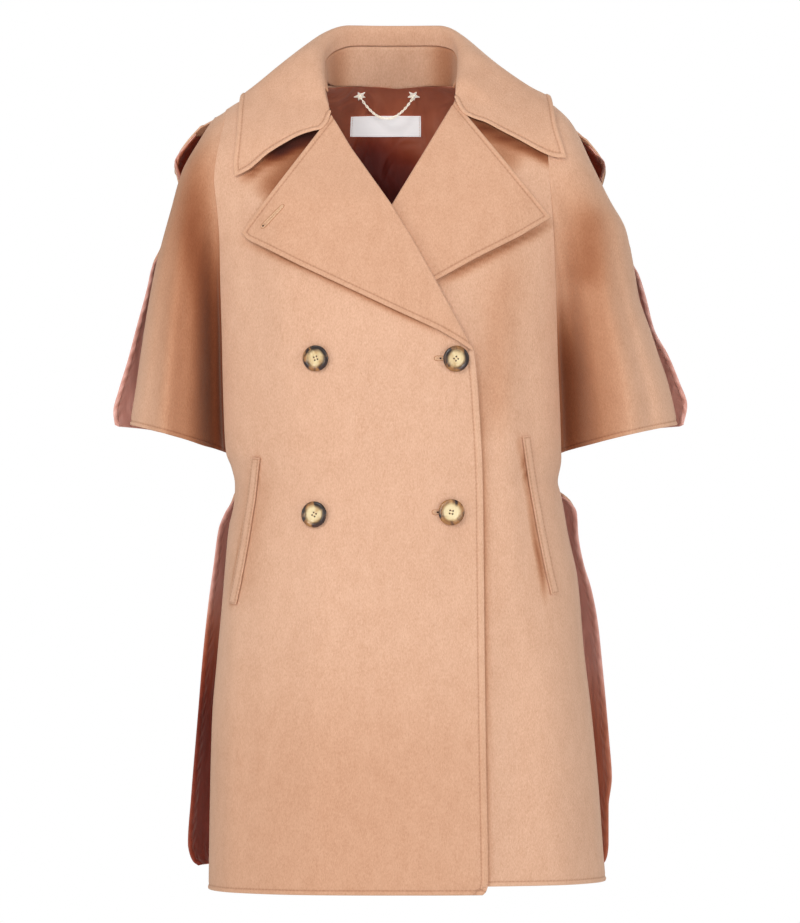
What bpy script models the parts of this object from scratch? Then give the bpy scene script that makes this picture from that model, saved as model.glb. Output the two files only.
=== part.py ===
"""Double-breasted wool cape with cape sleeves, side slits and a mauve lining.

The garment is filled out as it is worn, with nobody in it. Frame: metres, +Z up, the garment faces
-Y, and the wearer's right side is at -X. The origin is the middle of the neck base.

Every panel is a wall of cloth. Its outer face is a grid of points worked out from level tables:
a horizontal section of the body is half a superellipse in front and half behind, and near the
shoulder seam it rounds over to the ridge, so that each panel closes against its neighbour.
Table sizes are in millimetres.
"""
import math

import bmesh
import bpy
import numpy as np

MM = 0.001

# Cloth and seams
WOOL = 2.4 * MM
FLAP_WOOL = 2.0 * MM
LINING = 1.0 * MM
SEAM_GAP = 0.3 * MM
LINING_GAP = 0.4 * MM
LINING_OVERHANG = 2.5 * MM      # rolled lining edge that stands past the wool at a slit

RIGHT = -1                      # wearer's right, at -X
LEFT = 1

SECTION_POWER = 2.6             # 2 would be an ellipse; more is boxier
SHOULDER_ROUND = 60 * MM        # drop below the shoulder seam at which a panel is fully out
SLEEVE_TOP_STEP = 9 * MM        # height of the sleeve's short first edge along the ridge

# Depth of the garment in front of and behind the shoulder seam, a row per level
DEPTH_LEVELS = (
    # level, front, back
    (50, 52, 70),
    (20, 58, 80),
    (-20, 68, 90),
    (-60, 88, 102),
    (-120, 112, 116),
    (-250, 138, 128),
    (-420, 138, 126),
    (-620, 148, 140),
    (-860, 158, 156),
)

# Half width of the body section, and how far along it the sleeve seam or the side edge lies
BODY_LEVELS = {
    RIGHT: (
        # level, half width, seam place
        (20, 235, 0.786),
        (-10, 235, 0.787),
        (-50, 232, 0.830),
        (-85, 226, 0.874),
        (-120, 216, 0.900),
        (-150, 208, 0.923),
        (-200, 200.5, 0.953),
        (-250, 196.5, 0.965),
        (-300, 194, 0.972),
        (-350, 190.5, 0.982),
        (-381, 187, 0.990),
        (-396, 180, 0.9995),
        (-416, 176, 0.9995),
        (-434, 177, 0.9995),
        (-464, 183, 0.9995),
        (-502, 186.5, 0.9995),
        (-544, 190, 0.9995),
        (-605, 195.5, 0.9995),
        (-665, 200.5, 0.9995),
        (-755, 203, 0.9995),
        (-851, 204.5, 0.9995),
    ),
    LEFT: (
        (20, 225, 0.690),
        (-10, 225, 0.692),
        (-50, 222, 0.720),
        (-97, 208, 0.785),
        (-140, 195, 0.855),
        (-172, 187, 0.900),
        (-220, 182, 0.935),
        (-280, 180, 0.955),
        (-340, 179, 0.975),
        (-381, 178, 0.988),
        (-396, 175.5, 0.9995),
        (-412, 172.6, 0.9995),
        (-426, 176, 0.9995),
        (-470, 184, 0.9995),
        (-517, 194, 0.9995),
        (-595, 201, 0.9995),
        (-657, 208.5, 0.9995),
        (-746, 217, 0.9995),
        (-809, 221.5, 0.9995),
        (-851, 225, 0.9995),
    ),
}

# Shoulder ridge, as the height of the seam over each place across the body
RIDGE = {
    RIGHT: (
        # across, height
        (0, 44),
        (40, 36),
        (78, 19),
        (120, 9),
        (169, -1),
        (185, -10),
        (194, -15),
        (240, -40),
    ),
    LEFT: (
        (0, 44),
        (40, 36),
        (65, 22),
        (120, 9),
        (155, 3),
        (167, -5),
        (188, -26),
        (230, -60),
    ),
}

# Overarm line of each sleeve: how far out it lies at each level, for the front and the back half
SLEEVE_OUTLINE = {
    RIGHT: (
        # level, front half, back half
        (-9.5, 185, 185),
        (-15, 194, 194),
        (-45, 215, 215),
        (-78, 233.3, 233.3),
        (-119, 245.2, 245.2),
        (-158, 256, 256),
        (-176, 260.5, 265),
        (-203, 266, 271),
        (-248, 273.7, 283),
        (-279, 278.3, 291),
        (-314, 283.2, 301.5),
        (-337, 287, 307),
        (-352, 289, 305),
        (-381, 291, 299),
    ),
    LEFT: (
        (2.5, 156, 156),
        (-5, 167, 167),
        (-26, 188, 188),
        (-67.6, 208.4, 208.4),
        (-109, 229, 229),
        (-140, 246, 246),
        (-173, 253, 253),
        (-190, 256, 261),
        (-213, 260, 268),
        (-248, 272, 277),
        (-275, 281, 291.6),
        (-304, 291, 303.5),
        (-330, 297.5, 312),
        (-350, 301.3, 308),
        (-381, 305, 300),
    ),
}

UNDERARM = -381 * MM                              # lower end of the sleeve seam
SIDE_SLIT_TOP = -423 * MM
HEM = {RIGHT: -851 * MM, LEFT: -842 * MM}
BACK_HEM = -829 * MM
HEM_CORNER = 13 * MM                              # height over which the hem corners turn

# Sleeve hem height at its outer end and half way in; its inner end is at the underarm
SLEEVE_HEM_OUTER = -351 * MM
SLEEVE_HEM_BOW = 2.0 * MM
SLEEVE_BACK_HEM_BOW = 6.5 * MM     # the back half's hem bows up more, out of sight

# Bulge and folds of the front half of each sleeve, growing from the shoulder to the hem
SLEEVE_BULGE = 24 * MM
SLEEVE_FOLDS = {
    RIGHT: (
        # place across, width, depth at the hem (a trough is positive)
        (0.13, 0.11, 13),
        (0.46, 0.10, 5),
        (0.64, 0.09, -4),
        (0.80, 0.08, 3),
    ),
    LEFT: (
        (0.15, 0.12, 14),
        (0.42, 0.10, 3),
        (0.60, 0.09, -5),
        (0.78, 0.07, 5),
    ),
}
SLEEVE_SLIT_TOP = -160 * MM
SLEEVE_SLIT_EASE = 40 * MM
SLEEVE_SLIT_PLACE = 0.985       # below the slit's top the back half stops short of the overarm line
SLEEVE_BACK_BULGE = 16 * MM
SLEEVE_BACK_FOLDS = (
    (0.16, 0.12, 12),
    (0.50, 0.10, 5),
    (0.70, 0.09, -4),
)
FOLD_START = -70 * MM
FOLD_FULL = -350 * MM

# The back's edge along the side slit, wider than the front's, and how boldly it flares
BACK_EDGE_LEVELS = {
    RIGHT: (
        # level, edge, place along the back's own wider section
        (-423, 176.4, 0.9995),
        (-435, 181, 0.998),
        (-448, 188, 0.994),
        (-464, 194, 0.990),
        (-500, 199, 0.988),
        (-544, 205, 0.987),
        (-605, 211.5, 0.986),
        (-665, 216.5, 0.985),
        (-755, 224, 0.985),
        (-805, 227.4, 0.985),
        (-816, 225.6, 0.985),
        (-825, 221.5, 0.985),
        (-829, 216, 0.985),
    ),
    LEFT: (
        (-423, 175.8, 0.9995),
        (-433, 187, 0.997),
        (-447, 193.5, 0.993),
        (-470, 195, 0.990),
        (-500, 200.5, 0.988),
        (-528, 209, 0.987),
        (-564, 216, 0.986),
        (-605, 220.5, 0.986),
        (-692, 228.5, 0.985),
        (-734, 231.5, 0.985),
        (-765, 228, 0.985),
        (-805, 228, 0.985),
        (-816, 227, 0.985),
        (-825, 224, 0.985),
        (-829, 219, 0.985),
    ),
}

# Inner edge of each front: neckline, roll line and closing edge, a row per level
FRONT_EDGE = {
    RIGHT: (
        # level, across
        (25, -78),
        (19, -78),
        (-18.4, -71.3),
        (-23.8, -68.0),
        (-55.1, -49.7),
        (-116.1, -6.9),
        (-151.2, 14.6),
        (-197.6, 40.4),
        (-260.3, 74.5),
        (-273.5, 81.0),
        (-346, 87.5),
        (-415, 90.7),
        (-517, 91.8),
        (-605, 92.6),
        (-711, 94.0),
        (-838, 96.1),
        (-847, 94.0),
        (-851, 90.0),
    ),
    LEFT: (
        (25, 65),
        (20, 65),
        (-3.2, 61.0),
        (-16.2, 51.8),
        (-62.2, 25.9),
        (-116.1, -6.5),
        (-151.2, -28.5),
        (-197.6, -57.5),
        (-260.3, -97.0),
        (-273.5, -104.0),
        (-346, -112.0),
        (-415, -115.0),
        (-517, -116.0),
        (-605, -116.5),
        (-711, -117.0),
        (-840, -118.0),
        (-851, -116.0),
    ),
}

# How far the right front stands off the left front where it laps over
LAP_LEVELS = (
    # level, stand-off
    (0, 0),
    (-50, 0),
    (-90, 6.0),
    (-115, 9.0),
    (-255, 9.0),
    (-300, 6.0),
    (-345, 4.2),
    (-860, 4.0),
)
LAP_FROM = -168 * MM
LAP_FULL = -120 * MM

# Lapel corners: the notch edge runs from the gorge to the point, and the lower edge back to the roll
LAPELS = {
    RIGHT: {
        "roll": ((-71.3, -18.4), (-49.7, -55.1), (-6.9, -116.1), (14.6, -151.2), (40.4, -197.6),
                 (74.5, -260.3), (79.6, -270.5)),
        "lower": ((-168.0, -146.0), (-160.9, -153.4), (-102.6, -182.5), (2.2, -231.8), (43.2, -250.6),
                  (63.7, -262.4), (79.8, -273.2)),
        "lift": 5.0,
    },
    LEFT: {
        "roll": ((61.0, -3.2), (25.9, -62.2), (-6.5, -116.1), (-28.5, -151.2), (-57.5, -197.6),
                 (-97.0, -260.3), (-102.6, -270.5)),
        "lower": ((164.2, -129.6), (130.2, -150.1), (84.8, -172.8), (40.4, -197.6), (-36.0, -237.0),
                  (-84.0, -262.0), (-102.8, -273.2)),
        "lift": 4.0,
    },
}

LAPEL_ROLL_GAP = 0.8 * MM
LAPEL_GORGE_GAP = 1.6 * MM      # more near the gorge, where the front rounds towards the shoulder

# Collar, from the right gorge round the back to the left gorge: a row per place
COLLAR_SECTIONS = (
    # neck x, y, z      roll x, y, z          edge x, y, z          rise, out, edge lift
    ((-69.0, -55, -15.0), (-72.2, -62, -16.8), (-175.0, -80, -84.0), (9, 6, 4)),
    ((-73.0, -46, 2.5), (-78.8, -46, 8.6), (-176.5, -74, -72.0), (18, 9, 10)),
    ((-76.0, -24, 17.5), (-79.9, -24, 29.0), (-173.5, -54, -40.0), (32, 12, 20)),
    ((-76.0, -2, 21.5), (-79.0, -2, 46.5), (-169.5, -8, 5.0), (36, 11, 18)),
    ((-67.0, 28.5, 19.2), (-71.5, 26, 63.5), (-154.0, 52, 4.0), (37, 9, 15)),
    ((-42.0, 50.0, 20.8), (-48.0, 52, 74.5), (-110.0, 96, -20.0), (43, 10, 14)),
    ((-4.0, 63.6, 18.8), (-5.0, 62, 75.5), (-5.0, 118, -34.0), (43, 8, 10)),
    ((34.0, 53.2, 20.9), (40.0, 52, 74.5), (102.0, 96, -20.0), (42, 10, 14)),
    ((58.0, 33.0, 19.8), (60.0, 27, 66.0), (144.0, 52, 3.0), (31, 6, 7)),
    ((62.0, -2, 24.0), (64.8, -2, 47.0), (163.5, -8, 5.0), (31, 8, 7)),
    ((60.5, -24, 19.5), (64.6, -25, 30.0), (171.0, -50, -31.0), (27, 9, 12)),
    ((57.0, -42, 8.0), (63.0, -46, 15.5), (178.5, -66, -56.0), (18, 9, 10)),
    ((58.0, -50, 1.5), (61.4, -56, -0.6), (180.5, -74, -64.0), (9, 6, 4)),
)
# Shares of the way down the inside from the roll to the neck, on the stand and on the leaf's strip
STAND_SHARES = (0.97, 0.63, 0.285)
STRIP_SHARES = (0.25, 0.12)
# The collar's short end bows up between the gorge seam and its point
COLLAR_END_BOW = (
    # along the end, rise
    (0.00, 0),
    (0.14, -4),
    (0.27, 2.5),
    (0.50, 6.2),
    (0.72, 5.5),
    (1.00, 0),
)
COLLAR_CLEARANCE = 1.6 * MM
COLLAR_RAISE = 5.0 * MM         # it lies this much above what is under it near the shoulder seam
COLLAR_INNER_STRIP = 0.25       # part of the stand's height that belongs to the collar leaf
COLLAR_END_STRIP = 0.8 * MM      # at its ends the leaf stops just past the roll
COLLAR_PLACES = 30              # columns round the neck
STAND_FIRST = 3                 # the stand runs out this many columns before the gorge

# Storm flap over the upper back: how far out its ends reach at each level
FLAP_OUTLINE = (
    # level, right, left
    (-15, 203, 182),
    (-24, 212, 190),
    (-45, 231, 209),
    (-57, 239, 218.5),
    (-67, 243, 223.5),
    (-76, 243.5, 224),
    (-84, 242, 223.5),
    (-100, 243, 226),
    (-120, 248, 233),
    (-210, 264, 252),
)
FLAP_RAISE = 4.2 * MM           # its ridge lies over the shoulder's
FLAP_STAND_OFF = 9.0 * MM       # how far it hangs behind the back
FLAP_POWER = 3.2
FLAP_SEWN_HALF = 150 * MM       # its top edge is sewn down to the back this far out from the middle
FLAP_SEWN_GAP = 0.9 * MM
FLAP_COLUMNS = 28
FLAP_ROWS = (0, 0.03, 0.12, 0.3, 0.55, 0.8, 1.0)
FLAP_END = 0.97                 # its end edges stop short of its full round, behind the arm
FLAP_TIP_LEVEL = -70 * MM
FLAP_MIDDLE_LEVEL = -205 * MM
FLAP_RIM = 1.8 * MM             # lining that stands past the flap's free edge

# Slanted pocket welts on the fronts, from top to bottom
POCKETS = {
    RIGHT: ((-150.6, -386.0), (-155.5, -430.0), (-163.5, -480.0), (-171.0, -520.0), (-176.0, -543.0)),
    LEFT: ((136.0, -363.5), (143.5, -415.0), (152.0, -462.0), (160.5, -505.0), (167.0, -532.0)),
}
WELT_WIDTH = 8.5 * MM
WELT_WALL = 1.8 * MM
WELT_GAP = 0.7 * MM

# Buttons on the right front, as across and level
BUTTON_PLACES = ((-87.0, -280.5), (61.5, -281.0), (-88.5, -447.0), (56.5, -444.5))
BUTTON_RADIUS = 14 * MM
BUTTON_WALL = 4.2 * MM
BUTTON_SIDES = 24

# Hanger and label inside the back neck
STAR_PLACES = ((-42.6, 11.8), (17.5, 11.8))
STAR_RADIUS = 7.2 * MM
STAR_WALL = 1.6 * MM
STAR_GAP = 1.6 * MM
CHAIN_SAG = 23 * MM
CHAIN_RADIUS = 1.2 * MM
CHAIN_POINTS = 19
LABEL_ACROSS = (-52.3, 25.1)
LABEL_LEVELS = (-12.0, -34.8)
LABEL_WALL = 0.9 * MM

# Grid sizes
FRONT_COLUMNS = 14
BACK_COLUMNS = 20
SLEEVE_COLUMNS = 9
LAPEL_ROWS = 7

WOOL_FINISH = ("camel_wool", (0.66, 0.40, 0.23), 0.9, 0.0)
LINING_FINISH = ("mauve_lining", (0.36, 0.14, 0.11), 0.45, 0.0)
HORN_FINISH = ("horn", (0.45, 0.30, 0.14), 0.3, 0.0)
GILT_FINISH = ("pale_gilt", (0.85, 0.68, 0.38), 0.25, 1.0)
LABEL_FINISH = ("white_tape", (0.82, 0.83, 0.86), 0.7, 0.0)


# ---------------------------------------------------------------- tables and curves

def smooth_column(table, column, at):
    """Read one column of a table, in metres, by a monotone cubic through its rows."""
    rows = np.array(table, float)
    rows = rows[np.argsort(rows[:, 0])]
    knots = rows[:, 0] * MM
    values = rows[:, column] * MM
    at = np.clip(np.asarray(at, float), knots[0], knots[-1])
    widths = np.diff(knots)
    slopes = np.diff(values) / widths
    tangents = np.zeros_like(values)
    same_way = slopes[:-1] * slopes[1:] > 0
    mean = 2 * slopes[:-1] * slopes[1:] / np.where(same_way, slopes[:-1] + slopes[1:], 1)
    tangents[1:-1] = np.where(same_way, mean, 0)
    tangents[0] = slopes[0]
    tangents[-1] = slopes[-1]
    cell = np.clip(np.searchsorted(knots, at) - 1, 0, len(widths) - 1)
    t = (at - knots[cell]) / widths[cell]
    start = (1 + 2 * t) * (1 - t) ** 2 * values[cell] + t * (1 - t) ** 2 * widths[cell] * tangents[cell]
    end = t ** 2 * (3 - 2 * t) * values[cell + 1] - t ** 2 * (1 - t) * widths[cell] * tangents[cell + 1]
    return start + end


def smooth_step(x):
    x = np.clip(x, 0, 1)
    return x * x * (3 - 2 * x)


def polyline(points, share):
    """Points at the given shares of a polyline's length; points are in millimetres."""
    points = np.array(points, float) * MM
    lengths = np.concatenate(([0], np.cumsum(np.linalg.norm(np.diff(points, axis=0), axis=1))))
    at = np.asarray(share) * lengths[-1]
    return np.stack([np.interp(at, lengths, points[:, k]) for k in range(points.shape[1])], axis=-1)


def by_side(x, right, left):
    return np.where(x < 0, right, left)


# ---------------------------------------------------------------- the body's two faces

def half_width(z, side):
    return smooth_column(BODY_LEVELS[side], 1, z)


def seam_place(z, side):
    return smooth_column(BODY_LEVELS[side], 2, z) / MM


def seam_across(z, side):
    return half_width(z, side) * seam_place(z, side)


def ridge_height(x, side):
    return smooth_column(RIDGE[side], 1, abs(x))


def seam_top(side):
    """Where the sleeve seam leaves the shoulder ridge."""
    return float(solve_top(lambda z: seam_across(z, side), lambda x: ridge_height(x, side)))


def shoulder_rounding(drop):
    """0 on the ridge, 1 once the panel is fully out, as a quarter circle."""
    t = np.clip(drop / SHOULDER_ROUND, 0, 1)
    return np.sqrt(1 - (1 - t) ** 2)


def section(ratio):
    return (1 - np.clip(np.abs(ratio), 0, 1) ** SECTION_POWER) ** (1 / SECTION_POWER)


def body_drop(x, z):
    return by_side(x, ridge_height(x, RIGHT), ridge_height(x, LEFT)) - z


def front_y(x, z, lowered=0.0):
    """The fronts' outer face: depth over the place across and the level; lowered drops the ridge."""
    width = by_side(x, half_width(z, RIGHT), half_width(z, LEFT))
    depth = smooth_column(DEPTH_LEVELS, 1, z)
    return -depth * section(x / width) * shoulder_rounding(body_drop(x, z) - lowered)


def lapped_front_y(x, z):
    """The right front's outer face, which stands off the left front where it laps over."""
    stand_off = smooth_column(LAP_LEVELS, 1, z) * smooth_step((x - LAP_FROM) / (LAP_FULL - LAP_FROM))
    return front_y(x, z) - stand_off


def back_y(x, z, lowered=0.0):
    """The back's outer face, with the wider section that its slit edges need."""
    width = by_side(x, back_width(z, RIGHT), back_width(z, LEFT))
    depth = smooth_column(DEPTH_LEVELS, 2, z)
    return depth * section(x / width) * shoulder_rounding(body_drop(x, z) - lowered)


def back_width(z, side):
    slit_width = smooth_column(BACK_EDGE_LEVELS[side], 1, z) / back_place(z, side)
    return np.where(z < SIDE_SLIT_TOP, slit_width, half_width(z, side))


def back_place(z, side):
    return smooth_column(BACK_EDGE_LEVELS[side], 2, z) / MM


def surface_normal(face, x, z, outward):
    """Unit normal of a face given as depth over (x, z); outward is -1 in front and 1 behind."""
    step = 0.5 * MM
    slope_x = (face(x + step, z) - face(x - step, z)) / (2 * step)
    slope_z = (face(x, z + step) - face(x, z - step)) / (2 * step)
    normal = np.stack([-slope_x, np.ones_like(slope_x), -slope_z], axis=-1) * outward
    return normal / np.linalg.norm(normal, axis=-1, keepdims=True)


def on_face(face, x, z, outward, height):
    """Points at a height over a face, measured along its normal."""
    x = np.asarray(x, float)
    z = np.asarray(z, float)
    foot = np.stack([x, face(x, z), z], axis=-1)
    return foot + surface_normal(face, x, z, outward) * np.asarray(height)[..., None]


# ---------------------------------------------------------------- grids to closed walls

def grid_normals(grid):
    down = np.gradient(grid, axis=0)
    across = np.gradient(grid, axis=1)
    normal = np.cross(across, down)
    return normal / np.maximum(np.linalg.norm(normal, axis=-1, keepdims=True), 1e-12)


def facing(grid, way):
    """Normals of a grid, turned so that on the whole they point the given way."""
    normal = grid_normals(grid)
    return normal if (normal @ np.array(way, float)).sum() > 0 else -normal


def moved_in(grid, way, depth):
    return grid - facing(grid, way) * depth


def finish_object(name, mesh, finish):
    mesh.materials.append(material(finish))
    mesh.shade_smooth()
    mesh.set_sharp_from_angle(angle=math.radians(50))
    thing = bpy.data.objects.new(name, mesh)
    bpy.context.scene.collection.objects.link(thing)
    return thing


def material(finish):
    name, colour, roughness, metallic = finish
    known = bpy.data.materials.get(name)
    if known:
        return known
    made = bpy.data.materials.new(name)
    made.use_nodes = True
    shader = made.node_tree.nodes["Principled BSDF"]
    shader.inputs["Base Color"].default_value = (*colour, 1)
    shader.inputs["Roughness"].default_value = roughness
    shader.inputs["Metallic"].default_value = metallic
    made.diffuse_color = (*colour, 1)
    return made


def wall(name, outer, inner, finish):
    """A closed sheet of cloth between two grids of the same size."""
    rows, columns = outer.shape[:2]
    count = rows * columns
    index = np.arange(count).reshape(rows, columns)
    cells = np.stack([index[:-1, :-1], index[1:, :-1], index[1:, 1:], index[:-1, 1:]], axis=-1)
    faces = cells.reshape(-1, 4).tolist()
    faces += (cells[..., ::-1] + count).reshape(-1, 4).tolist()
    rim = np.concatenate([index[0, :], index[1:, -1], index[-1, -2::-1], index[-2:0:-1, 0]])
    after = np.roll(rim, -1)
    faces += np.stack([rim, after, after + count, rim + count], axis=-1).tolist()
    mesh = bpy.data.meshes.new(name)
    mesh.from_pydata(np.concatenate([outer.reshape(-1, 3), inner.reshape(-1, 3)]).tolist(), [], faces)
    shape = bmesh.new()
    shape.from_mesh(mesh)
    bmesh.ops.recalc_face_normals(shape, faces=shape.faces)
    bmesh.ops.triangulate(shape, faces=shape.faces)
    shape.to_mesh(mesh)
    shape.free()
    return finish_object(name, mesh, finish)


def cloth(name, outer, way, thickness, finish, keep=None):
    """A wall whose outer face is the grid; keep trims the inner face at a seam plane."""
    inner = moved_in(outer, way, thickness)
    if keep:
        inner = keep(inner)
    return wall(name, outer, inner, finish)


def in_front(points):
    """Keep points in front of the seam plane over the shoulders and down the sides."""
    kept = points.copy()
    kept[..., 1] = np.minimum(kept[..., 1], -SEAM_GAP / 2)
    return kept


def behind(points):
    kept = points.copy()
    kept[..., 1] = np.maximum(kept[..., 1], SEAM_GAP / 2)
    return kept


# ---------------------------------------------------------------- rows and columns

def top_zone_shares():
    """Shares of the way from the ridge to the underarm, close together where the shoulder rounds."""
    reach = -UNDERARM
    round_steps = [(1 - math.cos(math.radians(a))) * SHOULDER_ROUND / reach for a in (0, 22.5, 45, 67.5)]
    even_steps = np.linspace(SHOULDER_ROUND / reach, 1, 8)
    return np.concatenate([round_steps, even_steps])


SLIT_STEPS = (-396 * MM, -410 * MM, SIDE_SLIT_TOP, -438 * MM, -460 * MM)


def lower_levels(hem, count):
    """Levels from below the underarm to the hem, with the same first steps on every panel."""
    even = np.linspace(SLIT_STEPS[-1], hem + HEM_CORNER, count + 1)[1:]
    return np.concatenate([SLIT_STEPS, even, (hem + HEM_CORNER * 0.3, hem)])


def solve_top(across, ridge):
    """Heights at which the columns meet the ridge, found by a few substitutions."""
    z = np.zeros_like(across(0.0))
    for _ in range(12):
        z = ridge(across(z))
    return z


def column_share(count):
    """Shares across a panel, closer together towards its side edge, where it rounds away."""
    q = np.linspace(0, 1, count + 1)
    return 0.25 * q + 0.75 * np.sin(q * math.pi / 2)


# ---------------------------------------------------------------- fronts

def front_grid(side):
    """Outer face of one front: rows down from the shoulder seam, columns from the inner edge out."""
    share = column_share(FRONT_COLUMNS)

    def across(z):
        inner = smooth_column(FRONT_EDGE[side], 1, z)
        return inner + (side * seam_across(z, side) - inner) * share

    top = solve_top(across, lambda x: ridge_height(x, side))
    rows = [top + (UNDERARM - top) * s for s in top_zone_shares()]
    rows += [np.full_like(top, z) for z in lower_levels(HEM[side], 8)]
    z = np.array(rows)
    x = np.array([across(level) for level in rows])
    face = lapped_front_y if side == RIGHT else front_y
    y = np.minimum(face(x, z), -SEAM_GAP / 2)
    return np.stack([x, y, z], axis=-1)


def build_front(side, name):
    return cloth(name, front_grid(side), (0, -1, 0), WOOL, WOOL_FINISH, in_front)


# ---------------------------------------------------------------- back and its lining

def back_neckline(x):
    """Height of the back's top edge across the neck: level, and then along the ridge."""
    ridge = by_side(x, ridge_height(x, RIGHT), ridge_height(x, LEFT))
    neck = 17 * MM + 2.5 * MM * np.sin(np.clip(np.abs(x) / (72 * MM), 0, 1) * math.pi)
    return np.minimum(ridge, neck)


def back_grid():
    """Outer face of the back: rows down from the neck and shoulder seams, columns right to left."""
    half = column_share(BACK_COLUMNS // 2)

    def edge(z, side):
        slit_edge = smooth_column(BACK_EDGE_LEVELS[side], 1, z)
        return side * np.where(z < SIDE_SLIT_TOP - 1 * MM, slit_edge, seam_across(z, side))

    def across(z):
        z = np.broadcast_to(z, (2 * len(half) - 1,))
        right = edge(z[:len(half)], RIGHT) * half[::-1]
        left = edge(z[len(half):], LEFT) * half[1:]
        return np.concatenate([right, left])

    top = solve_top(across, back_neckline)
    rows = [top + (UNDERARM - top) * s for s in top_zone_shares()]
    rows += [np.full_like(top, z) for z in lower_levels(BACK_HEM, 7)]
    z = np.array(rows)
    x = np.array([across(level) for level in rows])
    y = np.maximum(back_y(x, z), SEAM_GAP / 2)
    return np.stack([x, y, z], axis=-1)


def rolled_lining(panel, rolled, edges):
    """Outer face of a panel's lining: just inside the panel, and rolled round its slits and hem.

    rolled holds 0 to 1 for each row: how far the lining comes round the slit edge there. edges
    names the columns that lie along a slit, 0 for the first and -1 for the last.
    """
    outer = behind(moved_in(panel, (0, 1, 0), WOOL + LINING_GAP))
    way = outer[-1] - outer[-2]
    outer[-1] += way / np.linalg.norm(way, axis=-1, keepdims=True) * LINING_OVERHANG
    amount = np.array(rolled, float)[:, None]
    columns = [outer]
    for edge in edges:
        inner = 1 if edge == 0 else -2
        way = outer[:, edge] - outer[:, inner]
        way /= np.linalg.norm(way, axis=-1, keepdims=True)
        out = panel[:, edge] - outer[:, edge]
        columns.insert(0 if edge == 0 else len(columns), (
            outer[:, edge] + way * LINING_OVERHANG * (0.25 + 0.75 * amount) + out * amount)[:, None])
        outer[:, edge] += way * LINING_OVERHANG * 0.3 * amount
    return np.concatenate(columns, axis=1)


def build_back():
    panel = back_grid()
    cloth("back", panel, (0, 1, 0), WOOL, WOOL_FINISH, behind)
    rolled = smooth_step((SIDE_SLIT_TOP - panel[:, 0, 2]) / (20 * MM))
    lining = rolled_lining(panel, rolled, (0, -1))
    cloth("back_lining", lining, (0, 1, 0), LINING, LINING_FINISH, behind)


# ---------------------------------------------------------------- sleeves

def sleeve_grid(side, half):
    """Outer face of a sleeve's front (half -1) or back (half 1) part, from the seam out to the arm."""
    share = np.sin(np.linspace(0, 1, SLEEVE_COLUMNS + 1) * math.pi / 2)
    top = seam_top(side) - SLEEVE_TOP_STEP * share
    bow = SLEEVE_HEM_BOW if half < 0 else SLEEVE_BACK_HEM_BOW
    hem = UNDERARM + (SLEEVE_HEM_OUTER - UNDERARM) * share + bow * np.sin(share * math.pi)
    z = np.array([top + (hem - top) * s for s in top_zone_shares()])
    seam = seam_across(z, side) + SEAM_GAP
    outline, place = sleeve_edge(z, side, half)
    x = side * (seam + (outline - seam) * share)
    y = sleeve_y(x, z, side, half)
    growth = smooth_step((FOLD_START - z) / (FOLD_START - FOLD_FULL))
    for middle, width, depth in SLEEVE_FOLDS[side] if half < 0 else SLEEVE_BACK_FOLDS:
        y = y - half * depth * MM * growth * np.exp(-((share - middle) / width) ** 2)
    y = np.minimum(y, -SEAM_GAP / 2) if half < 0 else np.maximum(y, SEAM_GAP / 2)
    return np.stack([x, y, z], axis=-1)


def sleeve_edge(z, side, half):
    """Where the sleeve's outer edge lies, and how far along its round it stops."""
    if half < 0:
        return smooth_column(SLEEVE_OUTLINE[side], 1, z), 1.0
    place = 1 - (1 - SLEEVE_SLIT_PLACE) * smooth_step((SLEEVE_SLIT_TOP - z) / SLEEVE_SLIT_EASE)
    return smooth_column(SLEEVE_OUTLINE[side], 2, z), place


def sleeve_y(x, z, side, half):
    """A sleeve's face without its folds: a quarter round from the seam to the overarm line."""
    seam = seam_across(z, side)
    outline, place = sleeve_edge(z, side, half)
    share = np.clip((np.abs(x) - seam) / np.maximum(outline - seam, 1 * MM), 0, 1) * place
    face = front_y if half < 0 else back_y
    growth = smooth_step((FOLD_START - z) / (FOLD_START - FOLD_FULL))
    bulge = SLEEVE_BULGE if half < 0 else SLEEVE_BACK_BULGE
    at_seam = face(side * seam, z, SLEEVE_TOP_STEP * share)
    return at_seam * section(share) + half * bulge * growth * np.sin(math.pi * share ** 1.3)


def garment_front_y(x, z):
    """Depth of whatever is outermost in front: the lapped fronts, and the sleeves beyond the seams."""
    y = np.where(x < 0, lapped_front_y(x, z), front_y(x, z))
    for side in (RIGHT, LEFT):
        over_sleeve = x * side > seam_across(z, side)
        y = np.where(over_sleeve, sleeve_y(x, z, side, -1), y)
    return y


def outside_seam(points, side, seam):
    """Keep a sleeve's columns outside the seam that it shares with the body."""
    kept = points.copy()
    nearest = side * seam[:, None] + np.arange(points.shape[1]) * 0.2 * MM
    kept[..., 0] = side * np.maximum(side * kept[..., 0], nearest)
    return kept


def build_sleeve(side, word):
    front = sleeve_grid(side, -1)
    seam = front[:, 0, 0]
    cloth("sleeve_front_" + word, front, (0, -1, 0), WOOL, WOOL_FINISH,
          lambda inner: outside_seam(in_front(inner), side, seam))
    back = sleeve_grid(side, 1)
    cloth("sleeve_back_" + word, back, (0, 1, 0), WOOL, WOOL_FINISH,
          lambda inner: outside_seam(behind(inner), side, seam))
    rolled = smooth_step((SLEEVE_SLIT_TOP - back[:, -1, 2]) / (25 * MM))
    lining = outside_seam(rolled_lining(back, rolled, (-1,)), side, seam)[2:]
    cloth("sleeve_lining_" + word, lining, (0, 1, 0), LINING, LINING_FINISH,
          lambda inner: outside_seam(behind(inner), side, seam[2:]))


# ---------------------------------------------------------------- storm flap

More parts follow.
